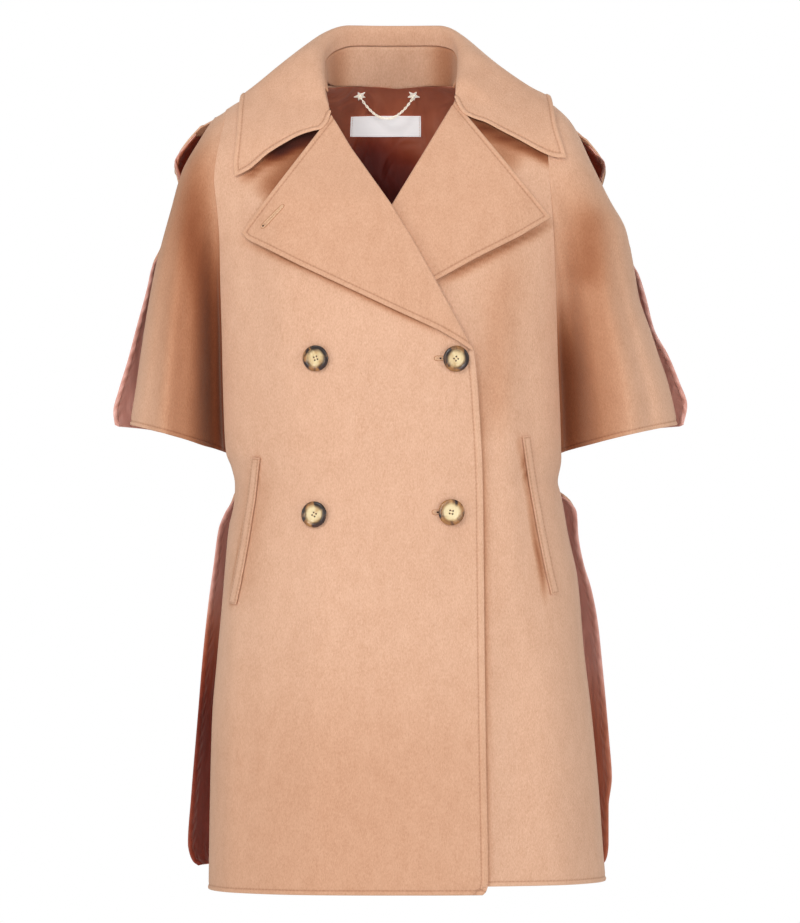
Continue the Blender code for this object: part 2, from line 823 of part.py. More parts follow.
def flap_y(x, z):
    """The storm flap's outer face: a boxier section than the back's, hung a little behind it."""
    reach = by_side(x, smooth_column(FLAP_OUTLINE, 1, z), smooth_column(FLAP_OUTLINE, 2, z)) / FLAP_END
    ratio = np.clip(np.abs(x) / reach, 0, 1)
    depth = smooth_column(DEPTH_LEVELS, 2, z) + FLAP_STAND_OFF
    hung = (1 - ratio ** FLAP_POWER) ** (1 / FLAP_POWER)
    return depth * hung * shoulder_rounding(body_drop(x * 0.8, z) + FLAP_RAISE)


def flap_grid():
    """Outer face of the storm flap: rows down from the shoulder seams, columns right to left."""
    q = np.linspace(-1, 1, FLAP_COLUMNS + 1)
    share = np.sin(q * math.pi / 2)

    def across(z):
        return share * by_side(q, smooth_column(FLAP_OUTLINE, 1, z), smooth_column(FLAP_OUTLINE, 2, z))

    top = solve_top(across, back_neckline) - 1.5 * MM
    bottom = FLAP_TIP_LEVEL + (FLAP_MIDDLE_LEVEL - FLAP_TIP_LEVEL) * np.sqrt(1 - np.abs(share) ** 6)
    z = np.array([top + (bottom - top) * s for s in FLAP_ROWS])
    x = np.array([across(level) for level in z])
    grid = np.stack([x, np.maximum(flap_y(x, z), SEAM_GAP / 2), z], axis=-1)
    sewn = smooth_step((FLAP_SEWN_HALF - np.abs(x[0])) / (30 * MM))[:, None]
    grid[0] += (on_face(back_y, x[0], z[0], 1, FLAP_WOOL + FLAP_SEWN_GAP) - grid[0]) * sewn
    return grid


def build_storm_flap():
    panel = flap_grid()
    cloth("storm_flap", panel, (0, 1, 0), FLAP_WOOL, WOOL_FINISH, behind)
    lining = behind(moved_in(panel, (0, 1, 0), FLAP_WOOL + 2.5 * LINING_GAP))[2:]
    for edge, inner in ((0, 1), (-1, -2)):
        way = lining[:, edge] - lining[:, inner]
        lining[:, edge] += way / np.linalg.norm(way, axis=-1, keepdims=True) * FLAP_RIM
    way = lining[-1] - lining[-2]
    lining[-1] += way / np.linalg.norm(way, axis=-1, keepdims=True) * FLAP_RIM
    cloth("storm_flap_lining", lining, (0, 1, 0), LINING, LINING_FINISH, behind)


# ---------------------------------------------------------------- collar

def collar_curves(count):
    """Neck, roll and edge curves and the leaf's shape values at even places round the neck."""
    rows = np.array([sum(row, ()) for row in COLLAR_SECTIONS], float)
    place = np.linspace(0, 1, len(rows))
    at = np.linspace(0, 1, count + 1)
    knots = np.column_stack([place / MM, rows])
    return np.stack([smooth_column(knots, k + 1, at) for k in range(rows.shape[1])], axis=-1)


def collar_grid(count, steps):
    """Face of stand and leaf: up the inside from the neck, over the roll and down to the edge."""
    values = collar_curves(count)
    neck, roll, edge = values[:, 0:3], values[:, 3:6], values[:, 6:9]
    rise, out, lift = values[:, 9:10], values[:, 10:11], values[:, 11:12]
    up = np.array([0.0, 0.0, 1.0])
    away = edge - roll
    away[:, 2] = 0
    outward = away / np.linalg.norm(away, axis=1, keepdims=True)
    first = roll + up * rise + outward * out
    second = edge - away / 3 + up * lift
    ends = near_ends(count, 0.09)[:, None]
    start = first - roll
    inside = (neck - roll) * (1 - ends) - start / np.linalg.norm(start, axis=1, keepdims=True) * (
        ends * COLLAR_END_STRIP / COLLAR_INNER_STRIP)
    grid = [roll + inside * s for s in STAND_SHARES + STRIP_SHARES]
    for t in steps:
        grid.append(roll * (1 - t) ** 3 + 3 * first * t * (1 - t) ** 2 + 3 * second * t * t * (1 - t)
                    + edge * t ** 3)
    grid = np.array(grid)
    bow_t = np.concatenate([np.zeros(len(STAND_SHARES + STRIP_SHARES)), steps])
    bow = np.interp(bow_t, *np.array(COLLAR_END_BOW).T) * MM
    grid[..., 2] += bow[:, None] * near_ends(count, 0.05)
    return grid


def near_ends(count, reach):
    """1 at the collar's two ends, fading within a share of its length."""
    fade = np.exp(-(np.linspace(0, 1, count + 1) / reach) ** 2)
    return fade + fade[::-1]


def keep_collar_clear(grid, clearance):
    """Hold the leaf in front of the fronts and behind the flap wherever it lies below the ridge."""
    held = grid.copy()
    x, y, z = held[..., 0], held[..., 1], held[..., 2]
    lower = z - COLLAR_RAISE
    front_limit = garment_front_y(x, lower) - clearance
    back_limit = flap_y(x, lower) + clearance
    below = body_drop(x, lower) > 0
    held[..., 1] = np.where(below & (y < 0), np.minimum(y, front_limit), y)
    held[..., 1] = np.where(below & (y >= 0), np.maximum(y, back_limit), held[..., 1])
    return held


def build_collar():
    """The stand and the leaf share one face, parted at the seam inside the neck."""
    steps = np.array([0, 0.06, 0.14, 0.26, 0.42, 0.60, 0.80, 1.0])
    outer = collar_grid(COLLAR_PLACES, steps)
    roll = len(STAND_SHARES + STRIP_SHARES)
    held = keep_collar_clear(outer[roll:], COLLAR_CLEARANCE + WOOL)
    outer[:roll] += held[0] - outer[roll]
    outer[roll:] = held
    behind_end = np.minimum(1.6 * near_ends(COLLAR_PLACES, 0.05), 1)[:, None]
    inner = moved_in(outer, (0, 0, 1), WOOL) * (1 - behind_end)
    inner += (outer + np.array([0, WOOL, 0])) * behind_end
    leaf = slice(len(STAND_SHARES), None)
    wall("collar", outer[leaf], inner[leaf], WOOL_FINISH)
    stand = (slice(0, len(STAND_SHARES)), slice(STAND_FIRST, -STAND_FIRST))
    wall("collar_stand", outer[stand], inner[stand], WOOL_FINISH)


# ---------------------------------------------------------------- lapels

def lapel_grid(side, count, rows):
    """Outer face of a lapel: columns run from the roll line to the notch and the lower edge."""
    shape = LAPELS[side]
    u = np.linspace(0, 1, count + 1)
    roll = polyline(shape["roll"], u)
    free = polyline(shape["lower"], u)
    v = np.linspace(0, 1, rows + 1)[:, None]
    x = roll[:, 0] + (free[:, 0] - roll[:, 0]) * v
    z = roll[:, 1] + (free[:, 1] - roll[:, 1]) * v
    face = lapped_front_y if side == RIGHT else front_y
    taper = smooth_step((1 - u) / 0.15)
    off = LAPEL_ROLL_GAP + 1.0 * MM * smooth_step(v / 0.2) * (0.3 + 0.7 * taper)
    off = off + LAPEL_GORGE_GAP * smooth_step((0.25 - u) / 0.25)
    off = off + shape["lift"] * MM * v ** 2 * smooth_step((0.55 - u) / 0.55)
    y = face(x, z) - off - WOOL
    return np.stack([x, y, z], axis=-1)


def build_lapel(side, name):
    outer = lapel_grid(side, 12, LAPEL_ROWS)
    inner = outer.copy()
    inner[..., 1] += WOOL
    wall(name, outer, inner, WOOL_FINISH)


# ---------------------------------------------------------------- small pieces

def build_welt(side, name):
    """A slanted welt lying on the front, made from the front's own face."""
    centre = polyline(POCKETS[side], np.linspace(0, 1, 13))
    along = np.gradient(centre, axis=0)
    sideways = np.stack([-along[:, 1], along[:, 0]], axis=-1)
    sideways /= np.linalg.norm(sideways, axis=1, keepdims=True)
    lines = [centre + sideways * WELT_WIDTH * s for s in (-0.5, 0, 0.5)]
    x = np.array([line[:, 0] for line in lines])
    z = np.array([line[:, 1] for line in lines])
    face = lapped_front_y if side == RIGHT else front_y
    low = on_face(face, x, z, -1, np.full(x.shape, WELT_GAP))
    high = on_face(face, x, z, -1, np.full(x.shape, WELT_GAP + WELT_WALL))
    wall(name, high, low, WOOL_FINISH)


def turned(name, profile, sides, centre, axis_z, finish):
    """A solid of revolution from (radius, height) rows, its axis through centre."""
    shape = bmesh.new()
    rings = []
    side_axis = np.cross((0.0, 0.0, 1.0), axis_z)
    side_axis /= np.linalg.norm(side_axis)
    other = np.cross(axis_z, side_axis)
    for radius, height in profile:
        middle = centre + axis_z * height
        if radius == 0:
            rings.append([shape.verts.new(middle)])
            continue
        angles = np.arange(sides) * 2 * math.pi / sides
        rings.append([shape.verts.new(middle + radius * (math.cos(a) * side_axis + math.sin(a) * other))
                      for a in angles])
    for low, high in zip(rings, rings[1:]):
        for k in range(sides):
            after = (k + 1) % sides
            if len(low) == 1:
                shape.faces.new((low[0], high[k], high[after]))
            elif len(high) == 1:
                shape.faces.new((low[k], high[0], low[after]))
            else:
                shape.faces.new((low[k], high[k], high[after], low[after]))
    bmesh.ops.recalc_face_normals(shape, faces=shape.faces)
    bmesh.ops.triangulate(shape, faces=shape.faces)
    mesh = bpy.data.meshes.new(name)
    shape.to_mesh(mesh)
    shape.free()
    return finish_object(name, mesh, finish)


BUTTON_PROFILE = (
    # share of the radius, share of the height
    (0, 0), (0.80, 0), (1.0, 0.35), (0.98, 0.72), (0.86, 1.0), (0.70, 0.92), (0.55, 0.62), (0, 0.55),
)


def build_buttons():
    for number, (x, z) in enumerate(BUTTON_PLACES, start=1):
        x, z = np.array(x * MM), np.array(z * MM)
        normal = surface_normal(lapped_front_y, x, z, -1)
        foot = on_face(lapped_front_y, x, z, -1, np.array(SEAM_GAP * 2))
        profile = [(r * BUTTON_RADIUS, h * BUTTON_WALL) for r, h in BUTTON_PROFILE]
        turned(f"button_{number}", profile, BUTTON_SIDES, foot, normal, HORN_FINISH)


NECK_INSIDE = WOOL + LINING_GAP + LINING + 0.3 * MM


def inside_neck(x, z, height):
    """Points inside the back neck, at a height off the lining's face."""
    return on_face(back_y, x, z, 1, -(NECK_INSIDE + np.asarray(height)))


def build_star(number, word):
    x, z = (np.array(v * MM) for v in STAR_PLACES[number])
    normal = -surface_normal(back_y, x, z, 1)
    foot = inside_neck(x, z, STAR_GAP)
    side_axis = np.cross(normal, (0.0, 0.0, 1.0))
    side_axis /= np.linalg.norm(side_axis)
    up_axis = np.cross(side_axis, normal)
    angles = math.pi / 2 + np.arange(10) * math.pi / 5
    radii = np.where(np.arange(10) % 2 == 0, STAR_RADIUS, STAR_RADIUS * 0.45)
    turned_way = np.cos(angles)[:, None] * side_axis + np.sin(angles)[:, None] * up_axis
    outline = foot + radii[:, None] * turned_way
    shape = bmesh.new()
    low = [shape.verts.new(p) for p in outline]
    high = [shape.verts.new(p + normal * STAR_WALL) for p in outline]
    shape.faces.new(low)
    shape.faces.new(high)
    for k in range(10):
        after = (k + 1) % 10
        shape.faces.new((low[k], low[after], high[after], high[k]))
    bmesh.ops.recalc_face_normals(shape, faces=shape.faces)
    bmesh.ops.triangulate(shape, faces=shape.faces)
    mesh = bpy.data.meshes.new("star")
    shape.to_mesh(mesh)
    shape.free()
    finish_object("hanger_star_" + word, mesh, GILT_FINISH)


def chain_route(count):
    """The hanging chain: a parabola in an upright plane between the fronts of the two stars."""
    t = np.linspace(0, 1, count)
    ends = np.array([inside_neck(x * MM, z * MM, STAR_GAP + STAR_WALL + CHAIN_RADIUS + SEAM_GAP)
                     for x, z in STAR_PLACES])
    route = ends[0] + (ends[1] - ends[0]) * t[:, None]
    route[:, 2] -= CHAIN_SAG * (1 - (2 * t - 1) ** 2)
    return route


def build_chain():
    curve = bpy.data.curves.new("chain", "CURVE")
    curve.dimensions = "3D"
    curve.bevel_depth = CHAIN_RADIUS
    curve.bevel_resolution = 2
    curve.use_fill_caps = True
    route = chain_route(CHAIN_POINTS)
    spline = curve.splines.new("POLY")
    spline.points.add(len(route) - 1)
    for point, place in zip(spline.points, route):
        point.co = (*place, 1)
    curve.materials.append(material(GILT_FINISH))
    thing = bpy.data.objects.new("hanger_chain", curve)
    bpy.context.scene.collection.objects.link(thing)


def build_label():
    x, z = np.meshgrid(np.linspace(*LABEL_ACROSS, 7) * MM, np.linspace(*LABEL_LEVELS, 3) * MM)
    low = inside_neck(x, z, np.full(x.shape, 0.7 * MM))
    high = inside_neck(x, z, np.full(x.shape, 0.7 * MM + LABEL_WALL))
    wall("neck_label", high, low, LABEL_FINISH)


def main():
    for thing in list(bpy.data.objects):
        bpy.data.objects.remove(thing, do_unlink=True)
    for side, word in ((RIGHT, "right"), (LEFT, "left")):
        build_front(side, "front_" + word)
        build_sleeve(side, word)
        build_lapel(side, "lapel_" + word)
        build_welt(side, "pocket_welt_" + word)
    build_back()
    build_storm_flap()
    build_collar()
    build_buttons()
    build_star(0, "right")
    build_star(1, "left")
    build_chain()
    build_label()


main()
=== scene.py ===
"""Wool cape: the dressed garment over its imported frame.

Metres, +Z up. The garment faces -Y, the wearer's right is at -X, and the origin is the middle of
the neck base. Every cloth piece is a thin closed wall whose outer face is a grid of points worked
out from the level tables below, as whole numpy arrays. Table sizes are in millimetres.
"""

import json
import logging
import math
from dataclasses import dataclass, field
from enum import Enum
from typing import Any, Callable, Optional, Sequence, Union

import bpy
import numpy as np
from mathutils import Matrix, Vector
from mathutils.bvhtree import BVHTree

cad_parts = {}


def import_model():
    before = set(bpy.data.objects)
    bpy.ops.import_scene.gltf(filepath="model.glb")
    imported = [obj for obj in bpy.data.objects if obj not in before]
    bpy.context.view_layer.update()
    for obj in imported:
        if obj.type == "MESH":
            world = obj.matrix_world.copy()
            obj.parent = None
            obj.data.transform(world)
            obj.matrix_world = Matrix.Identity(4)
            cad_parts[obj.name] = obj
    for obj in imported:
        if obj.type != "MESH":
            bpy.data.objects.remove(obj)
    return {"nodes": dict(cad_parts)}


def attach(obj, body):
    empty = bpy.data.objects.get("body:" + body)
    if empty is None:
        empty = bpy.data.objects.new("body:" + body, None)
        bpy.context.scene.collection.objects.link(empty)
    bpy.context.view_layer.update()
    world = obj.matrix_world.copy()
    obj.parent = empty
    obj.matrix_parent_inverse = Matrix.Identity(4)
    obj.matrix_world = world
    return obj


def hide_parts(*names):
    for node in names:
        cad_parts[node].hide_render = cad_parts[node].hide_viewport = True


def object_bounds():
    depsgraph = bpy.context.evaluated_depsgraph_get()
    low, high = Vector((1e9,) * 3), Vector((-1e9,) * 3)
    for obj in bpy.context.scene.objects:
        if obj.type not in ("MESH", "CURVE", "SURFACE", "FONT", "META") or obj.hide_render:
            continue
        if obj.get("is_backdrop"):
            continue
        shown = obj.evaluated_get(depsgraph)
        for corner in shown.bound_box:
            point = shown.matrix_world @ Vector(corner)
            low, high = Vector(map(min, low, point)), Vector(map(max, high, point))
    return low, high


LOG = logging.getLogger("wool_cape")
Array = np.ndarray
Object = bpy.types.Object
Material = bpy.types.Material
Face = Callable[[Array, Array], Array]
Rows = tuple[tuple[float, ...], ...]

MM = 0.001
NO_LINE = 60.0  # value of a line attribute where no sewn line runs, in millimetres


class Side(Enum):
    """The wearer's two sides; the value is the sign of x."""

    RIGHT = -1
    LEFT = 1

    @property
    def word(self) -> str:
        """The side as it stands in a piece's name."""
        return self.name.lower()


class Half(Enum):
    """Front and back half of a sleeve; the value is the sign of y."""

    FRONT = -1
    BACK = 1


class Hold(Enum):
    """How a sheet of cloth is held; every panel of this garment hangs from its seams."""

    HUNG = "hung"


class Slot(Enum):
    """The record's material slots."""

    WOOL = "camel_wool"
    LINING = "mauve_lining"
    HORN = "horn"
    GILT = "pale_gilt"
    TAPE = "white_tape"


RIGHT, LEFT = Side.RIGHT, Side.LEFT

# A cloth edge: how far through the wall its outer loops lie, and their share of the pull inwards
RIM_STEP = 0.12
RIM_IN = 0.3

# Cloth and seams
WOOL = 2.4 * MM
FLAP_WOOL = 2.0 * MM
LINING = 1.0 * MM
SEAM_GAP = 0.3 * MM
LINING_GAP = 0.4 * MM
LINING_OVERHANG = 2.5 * MM  # rolled lining edge that stands past the wool at a slit

SECTION_POWER = 2.6  # 2 would be an ellipse; more is boxier
SHOULDER_ROUND = 60 * MM  # drop below the shoulder seam at which a panel is fully out
SLEEVE_TOP_STEP = 9 * MM  # height of the sleeve's short first edge along the ridge

# Depth of the garment in front of and behind the shoulder seam, a row per level
DEPTH_LEVELS: Rows = (
    # level, front, back
    (50, 52, 70), (20, 58, 80), (-20, 68, 90), (-60, 88, 102), (-120, 112, 116), (-250, 138, 128),
    (-420, 138, 126), (-620, 148, 140), (-860, 158, 156),
)

# Back neckline: its level, its rise half way out, and its half width
NECK_LEVEL = 17 * MM
NECK_RISE = 2.5 * MM
NECK_HALF = 72 * MM

# Half width of the body section, and how far along it the sleeve seam or the side edge lies
BODY_LEVELS: dict[Side, Rows] = {
    RIGHT: (
        # level, half width, seam place
        (20, 235, 0.786), (-10, 235, 0.787), (-50, 232, 0.83), (-85, 226, 0.874),
        (-120, 216, 0.9), (-150, 208, 0.923), (-200, 200.5, 0.953), (-250, 196.5, 0.965),
        (-300, 194, 0.972), (-350, 190.5, 0.982), (-381, 187, 0.99), (-396, 180, 0.9995),
        (-416, 176, 0.9995), (-434, 177, 0.9995), (-464, 183, 0.9995), (-502, 186.5, 0.9995),
        (-544, 190, 0.9995), (-605, 195.5, 0.9995), (-665, 200.5, 0.9995), (-755, 203, 0.9995),
        (-851, 204.5, 0.9995),
    ),
    LEFT: (
        (20, 225, 0.69), (-10, 225, 0.692), (-50, 222, 0.72), (-97, 208, 0.785),
        (-140, 195, 0.855), (-172, 187, 0.9), (-220, 182, 0.935), (-280, 180, 0.955),
        (-340, 179, 0.975), (-381, 178, 0.988), (-396, 175.5, 0.9995), (-412, 172.6, 0.9995),
        (-426, 176, 0.9995), (-470, 184, 0.9995), (-517, 194, 0.9995), (-595, 201, 0.9995),
        (-657, 208.5, 0.9995), (-746, 217, 0.9995), (-809, 221.5, 0.9995), (-851, 225, 0.9995),
    ),
}

# Shoulder ridge, as the height of the seam over each place across the body
RIDGE: dict[Side, Rows] = {
    RIGHT: (
        # across, height
        (0, 44), (40, 36), (78, 19), (120, 9), (169, -1), (185, -10), (194, -15), (240, -40),
    ),
    LEFT: (
        (0, 44), (40, 36), (65, 22), (120, 9), (155, 3), (167, -5), (188, -26), (230, -60),
    ),
}

# Overarm line of each sleeve: how far out it lies at each level, for the front and the back half
SLEEVE_OUTLINE: dict[Side, Rows] = {
    RIGHT: (
        # level, front half, back half
        (-9.5, 185, 185), (-15, 194, 194), (-45, 215, 215), (-78, 233.3, 233.3),
        (-119, 245.2, 245.2), (-158, 256, 256), (-176, 260.5, 265), (-203, 266, 271),
        (-248, 273.7, 283), (-279, 278.3, 291), (-314, 283.2, 301.5), (-337, 287, 307),
        (-352, 289, 305), (-381, 291, 299),
    ),
    LEFT: (
        (2.5, 156, 156), (-5, 167, 167), (-26, 188, 188), (-67.6, 208.4, 208.4), (-109, 229, 229),
        (-140, 246, 246), (-173, 253, 253), (-190, 256, 261), (-213, 260, 268), (-248, 272, 277),
        (-275, 281, 291.6), (-304, 291, 303.5), (-330, 297.5, 312), (-350, 301.3, 308),
        (-381, 305, 300),
    ),
}

UNDERARM = -381 * MM  # lower end of the sleeve seam
SIDE_SLIT_TOP = -423 * MM
HEM = {RIGHT: -851 * MM, LEFT: -842 * MM}
BACK_HEM = -829 * MM

# Sleeve hem height at its outer end and half way in; its inner end is at the underarm
SLEEVE_HEM_OUTER = -351 * MM
SLEEVE_HEM_BOW = 2.0 * MM
SLEEVE_BACK_HEM_BOW = 6.5 * MM  # the back half's hem bows up more, out of sight

# Bulge and folds of the front half of each sleeve, growing from the shoulder to the hem
SLEEVE_BULGE = 24 * MM
SLEEVE_FOLDS: dict[Side, Rows] = {
    RIGHT: (
        # place across, width, depth at the hem (a trough is positive)
        (0.13, 0.11, 13), (0.46, 0.1, 5), (0.64, 0.09, -4), (0.8, 0.08, 3),
    ),
    LEFT: (
        (0.15, 0.12, 14), (0.42, 0.1, 3), (0.6, 0.09, -5), (0.78, 0.07, 5),
    ),
}
SLEEVE_SLIT_TOP = -160 * MM
SLEEVE_SLIT_EASE = 40 * MM
SLEEVE_SLIT_PLACE = 0.985  # below the slit's top the back half stops short of the overarm line
SLEEVE_BACK_BULGE = 16 * MM
SLEEVE_BACK_FOLDS: Rows = (
    (0.16, 0.12, 12), (0.5, 0.1, 5), (0.7, 0.09, -4),
)
FOLD_START = -70 * MM
FOLD_FULL = -350 * MM

# The back's edge along the side slit, wider than the front's, and how boldly it flares
BACK_EDGE_LEVELS: dict[Side, Rows] = {
    RIGHT: (
        # level, edge, place along the back's own wider section
        (-423, 176.4, 0.9995), (-435, 181, 0.998), (-448, 188, 0.994), (-464, 194, 0.99),
        (-500, 199, 0.988), (-544, 205, 0.987), (-605, 211.5, 0.986), (-665, 216.5, 0.985),
        (-755, 224, 0.985), (-805, 227.4, 0.985), (-816, 225.6, 0.985), (-825, 221.5, 0.985),
        (-829, 216, 0.985),
    ),
    LEFT: (
        (-423, 175.8, 0.9995), (-433, 187, 0.997), (-447, 193.5, 0.993), (-470, 195, 0.99),
        (-500, 200.5, 0.988), (-528, 209, 0.987), (-564, 216, 0.986), (-605, 220.5, 0.986),
        (-692, 228.5, 0.985), (-734, 231.5, 0.985), (-765, 228, 0.985), (-805, 228, 0.985),
        (-816, 227, 0.985), (-825, 224, 0.985), (-829, 219, 0.985),
    ),
}

# Inner edge of each front: neckline, roll line and closing edge, a row per level
FRONT_EDGE: dict[Side, Rows] = {
    RIGHT: (
        # level, across
        (25, -78), (19, -78), (-18.4, -71.3), (-23.8, -68), (-55.1, -49.7), (-116.1, -6.9),
        (-151.2, 14.6), (-197.6, 40.4), (-260.3, 74.5), (-273.5, 81), (-346, 87.5), (-415, 90.7),
        (-517, 91.8), (-605, 92.6), (-711, 94), (-838, 96.1), (-847, 94), (-851, 90),
    ),
    LEFT: (
        (25, 65), (20, 65), (-3.2, 61), (-16.2, 51.8), (-62.2, 25.9), (-116.1, -6.5),
        (-151.2, -28.5), (-197.6, -57.5), (-260.3, -97), (-273.5, -104), (-346, -112),
        (-415, -115), (-517, -116), (-605, -116.5), (-711, -117), (-840, -118),
        (-851, -116),
    ),
}

# How far the right front stands off the left front where it laps over
LAP_LEVELS: Rows = (
    # level, stand-off
    (0, 0), (-50, 0), (-90, 6), (-115, 9), (-255, 9), (-300, 6), (-345, 4.2), (-860, 4),
)
LAP_FROM = -168 * MM
LAP_FULL = -120 * MM

# Lapel corners: the notch edge runs from the gorge to the point, and the lower edge back to the roll
LAPELS: dict[Side, dict[str, Any]] = {
    RIGHT: {
        "roll": ((-71.3, -18.4), (-49.7, -55.1), (-6.9, -116.1), (14.6, -151.2), (40.4, -197.6),
                 (74.5, -260.3), (79.6, -270.5)),
        "lower": ((-168, -146), (-160.9, -153.4), (-102.6, -182.5), (2.2, -231.8), (43.2, -250.6),
                  (63.7, -262.4), (79.8, -273.2)),
        "lift": 5,
    },
    LEFT: {
        "roll": ((61, -3.2), (25.9, -62.2), (-6.5, -116.1), (-28.5, -151.2), (-57.5, -197.6),
                 (-97, -260.3), (-102.6, -270.5)),
        "lower": ((164.2, -129.6), (130.2, -150.1), (84.8, -172.8), (40.4, -197.6), (-36, -237),
                  (-84, -262), (-102.8, -273.2)),
        "lift": 4,
    },
}

LAPEL_ROLL_GAP = 0.8 * MM
LAPEL_GORGE_GAP = 1.6 * MM  # more near the gorge, where the front rounds towards the shoulder

# Collar, from the right gorge round the back to the left gorge: a row per place
COLLAR_SECTIONS = (
    # neck x, y, z      roll x, y, z          edge x, y, z          rise, out, edge lift
    ((-69, -55, -15), (-72.2, -62, -16.8), (-175, -80, -84), (9, 6, 4)),
    ((-73, -46, 2.5), (-78.8, -46, 8.6), (-176.5, -74, -72), (18, 9, 10)),
    ((-76, -24, 17.5), (-79.9, -24, 29), (-173.5, -54, -40), (32, 12, 20)),
    ((-76, -2, 21.5), (-79, -2, 46.5), (-169.5, -8, 5), (36, 11, 18)),
    ((-67, 28.5, 19.2), (-71.5, 26, 63.5), (-154, 52, 4), (37, 9, 15)),
    ((-42, 50, 20.8), (-48, 52, 74.5), (-110, 96, -20), (43, 10, 14)),
    ((-4, 63.6, 18.8), (-5, 62, 75.5), (-5, 118, -34), (43, 8, 10)),
    ((34, 53.2, 20.9), (40, 52, 74.5), (102, 96, -20), (42, 10, 14)),
    ((58, 33, 19.8), (60, 27, 66), (144, 52, 3), (31, 6, 7)),
    ((62, -2, 24), (64.8, -2, 47), (163.5, -8, 5), (31, 8, 7)),
    ((60.5, -24, 19.5), (64.6, -25, 30), (171, -50, -31), (27, 9, 12)),
    ((57, -42, 8), (63, -46, 15.5), (178.5, -66, -56), (18, 9, 10)),
    ((58, -50, 1.5), (61.4, -56, -0.6), (180.5, -74, -64), (9, 6, 4)),
)
# Shares of the way down the inside from the roll to the neck, on the stand and on the leaf's strip
STAND_SHARES = (0.97, 0.63, 0.285)
STRIP_SHARES = (0.25, 0.12)
COLLAR_CLEARANCE = 1.6 * MM
COLLAR_RAISE = 5.0 * MM  # it lies this much above what is under it near the shoulder seam
COLLAR_INNER_STRIP = 0.25  # part of the stand's height that belongs to the collar leaf
COLLAR_END_STRIP = 0.8 * MM  # at its ends the leaf stops just past the roll

# Storm flap over the upper back: how far out its ends reach at each level
FLAP_OUTLINE: Rows = (
    # level, right, left
    (-15, 203, 182), (-24, 212, 190), (-45, 231, 209), (-57, 239, 218.5), (-67, 243, 225),
    (-76, 243.5, 226.5), (-84, 239.5, 225), (-100, 238.5, 221.5), (-120, 245, 231),
    (-210, 264, 252),
)
FLAP_RAISE = 4.2 * MM  # its ridge lies over the shoulder's
FLAP_STAND_OFF = 9.0 * MM  # how far it hangs behind the back
FLAP_POWER = 3.2
FLAP_SEWN_HALF = 150 * MM  # its top edge is sewn down to the back this far out from the middle
FLAP_SEWN_GAP = 0.9 * MM
FLAP_END = 0.97  # its end edges stop short of its full round, behind the arm
FLAP_TIP_LEVEL = -70 * MM
FLAP_MIDDLE_LEVEL = -205 * MM
FLAP_RIM = 1.8 * MM  # lining that stands past the flap's free edge

# Slanted pocket welts on the fronts, from top to bottom
POCKETS: dict[Side, Rows] = {
    RIGHT: ((-150.6, -386), (-155.5, -430), (-163.5, -480), (-171, -520), (-176, -543)),
    LEFT: ((136, -363.5), (143.5, -415), (152, -462), (160.5, -505), (167, -532)),
}
WELT_WIDTH = 8.5 * MM
WELT_WALL = 1.8 * MM
WELT_GAP = 0.7 * MM

# Buttons on the right front, as across and level
BUTTON_PLACES = ((-87, -280.5), (61.5, -281), (-88.5, -447), (56.5, -444.5))
BUTTON_RADIUS = 14 * MM
BUTTON_WALL = 4.2 * MM

# Hanger and label inside the back neck
STAR_PLACES = ((-42.6, 11.8), (17.5, 11.8))
STAR_RADIUS = 7.2 * MM
STAR_WALL = 1.6 * MM
STAR_GAP = 1.6 * MM
CHAIN_SAG = 23 * MM
CHAIN_RADIUS = 1.2 * MM
LABEL_ACROSS = (-52.3, 25.1)
LABEL_LEVELS = (-12, -34.8)
LABEL_WALL = 0.9 * MM


# ---- tables and curves

def smooth_column(table: Rows, column: int, at: Array) -> Array:
    """Read a table column by a monotone cubic whose tangents are harmonic means of the slopes.

    Args:
        table: Rows in millimetres, keyed by their first value.
        column: The column to read.
        at: Keys in metres, held inside the table's range.

    Returns:
        The values in metres.
    """
    rows = np.array(table, float)
    rows = rows[np.argsort(rows[:, 0])]
    knots, values = rows[:, 0] * MM, rows[:, column] * MM
    at = np.clip(np.asarray(at, float), knots[0], knots[-1])
    widths = np.diff(knots)
    slopes = np.diff(values) / widths
    tangents = np.zeros_like(values)
    same_way = slopes[:-1] * slopes[1:] > 0
    mean = 2 * slopes[:-1] * slopes[1:] / np.where(same_way, slopes[:-1] + slopes[1:], 1)
    tangents[1:-1] = np.where(same_way, mean, 0)
    tangents[0], tangents[-1] = slopes[0], slopes[-1]
    cell = np.clip(np.searchsorted(knots, at) - 1, 0, len(widths) - 1)
    width = widths[cell]
    t = (at - knots[cell]) / width
    start = (1 + 2 * t) * (1 - t) ** 2 * values[cell] + t * (1 - t) ** 2 * width * tangents[cell]
    end = t ** 2 * (3 - 2 * t) * values[cell + 1] - t ** 2 * (1 - t) * width * tangents[cell + 1]
    return start + end


def smooth_step(x: Array) -> Array:
    """0 below 0 and 1 above 1, by x²(3 - 2x) between."""
    x = np.clip(x, 0, 1)
    return x * x * (3 - 2 * x)


def bump(x: Array, middle: float, width: float) -> Array:
    """A soft swelling: exp(-((x - middle) / width)²)."""
    return np.exp(-((x - middle) / width) ** 2)


def unit(vectors: Array) -> Array:
    """Vectors brought to length one."""
    return vectors / np.maximum(np.linalg.norm(vectors, axis=-1, keepdims=True), 1e-12)


def polyline(points: Rows, share: Array) -> Array:
    """Points at the given shares of a polyline's length, from millimetres to metres."""
    corners = np.array(points, float) * MM
    lengths = np.concatenate(([0], np.cumsum(np.linalg.norm(np.diff(corners, axis=0), axis=1))))
    at = np.asarray(share) * lengths[-1]
    return np.stack([np.interp(at, lengths, column) for column in corners.T], axis=-1)


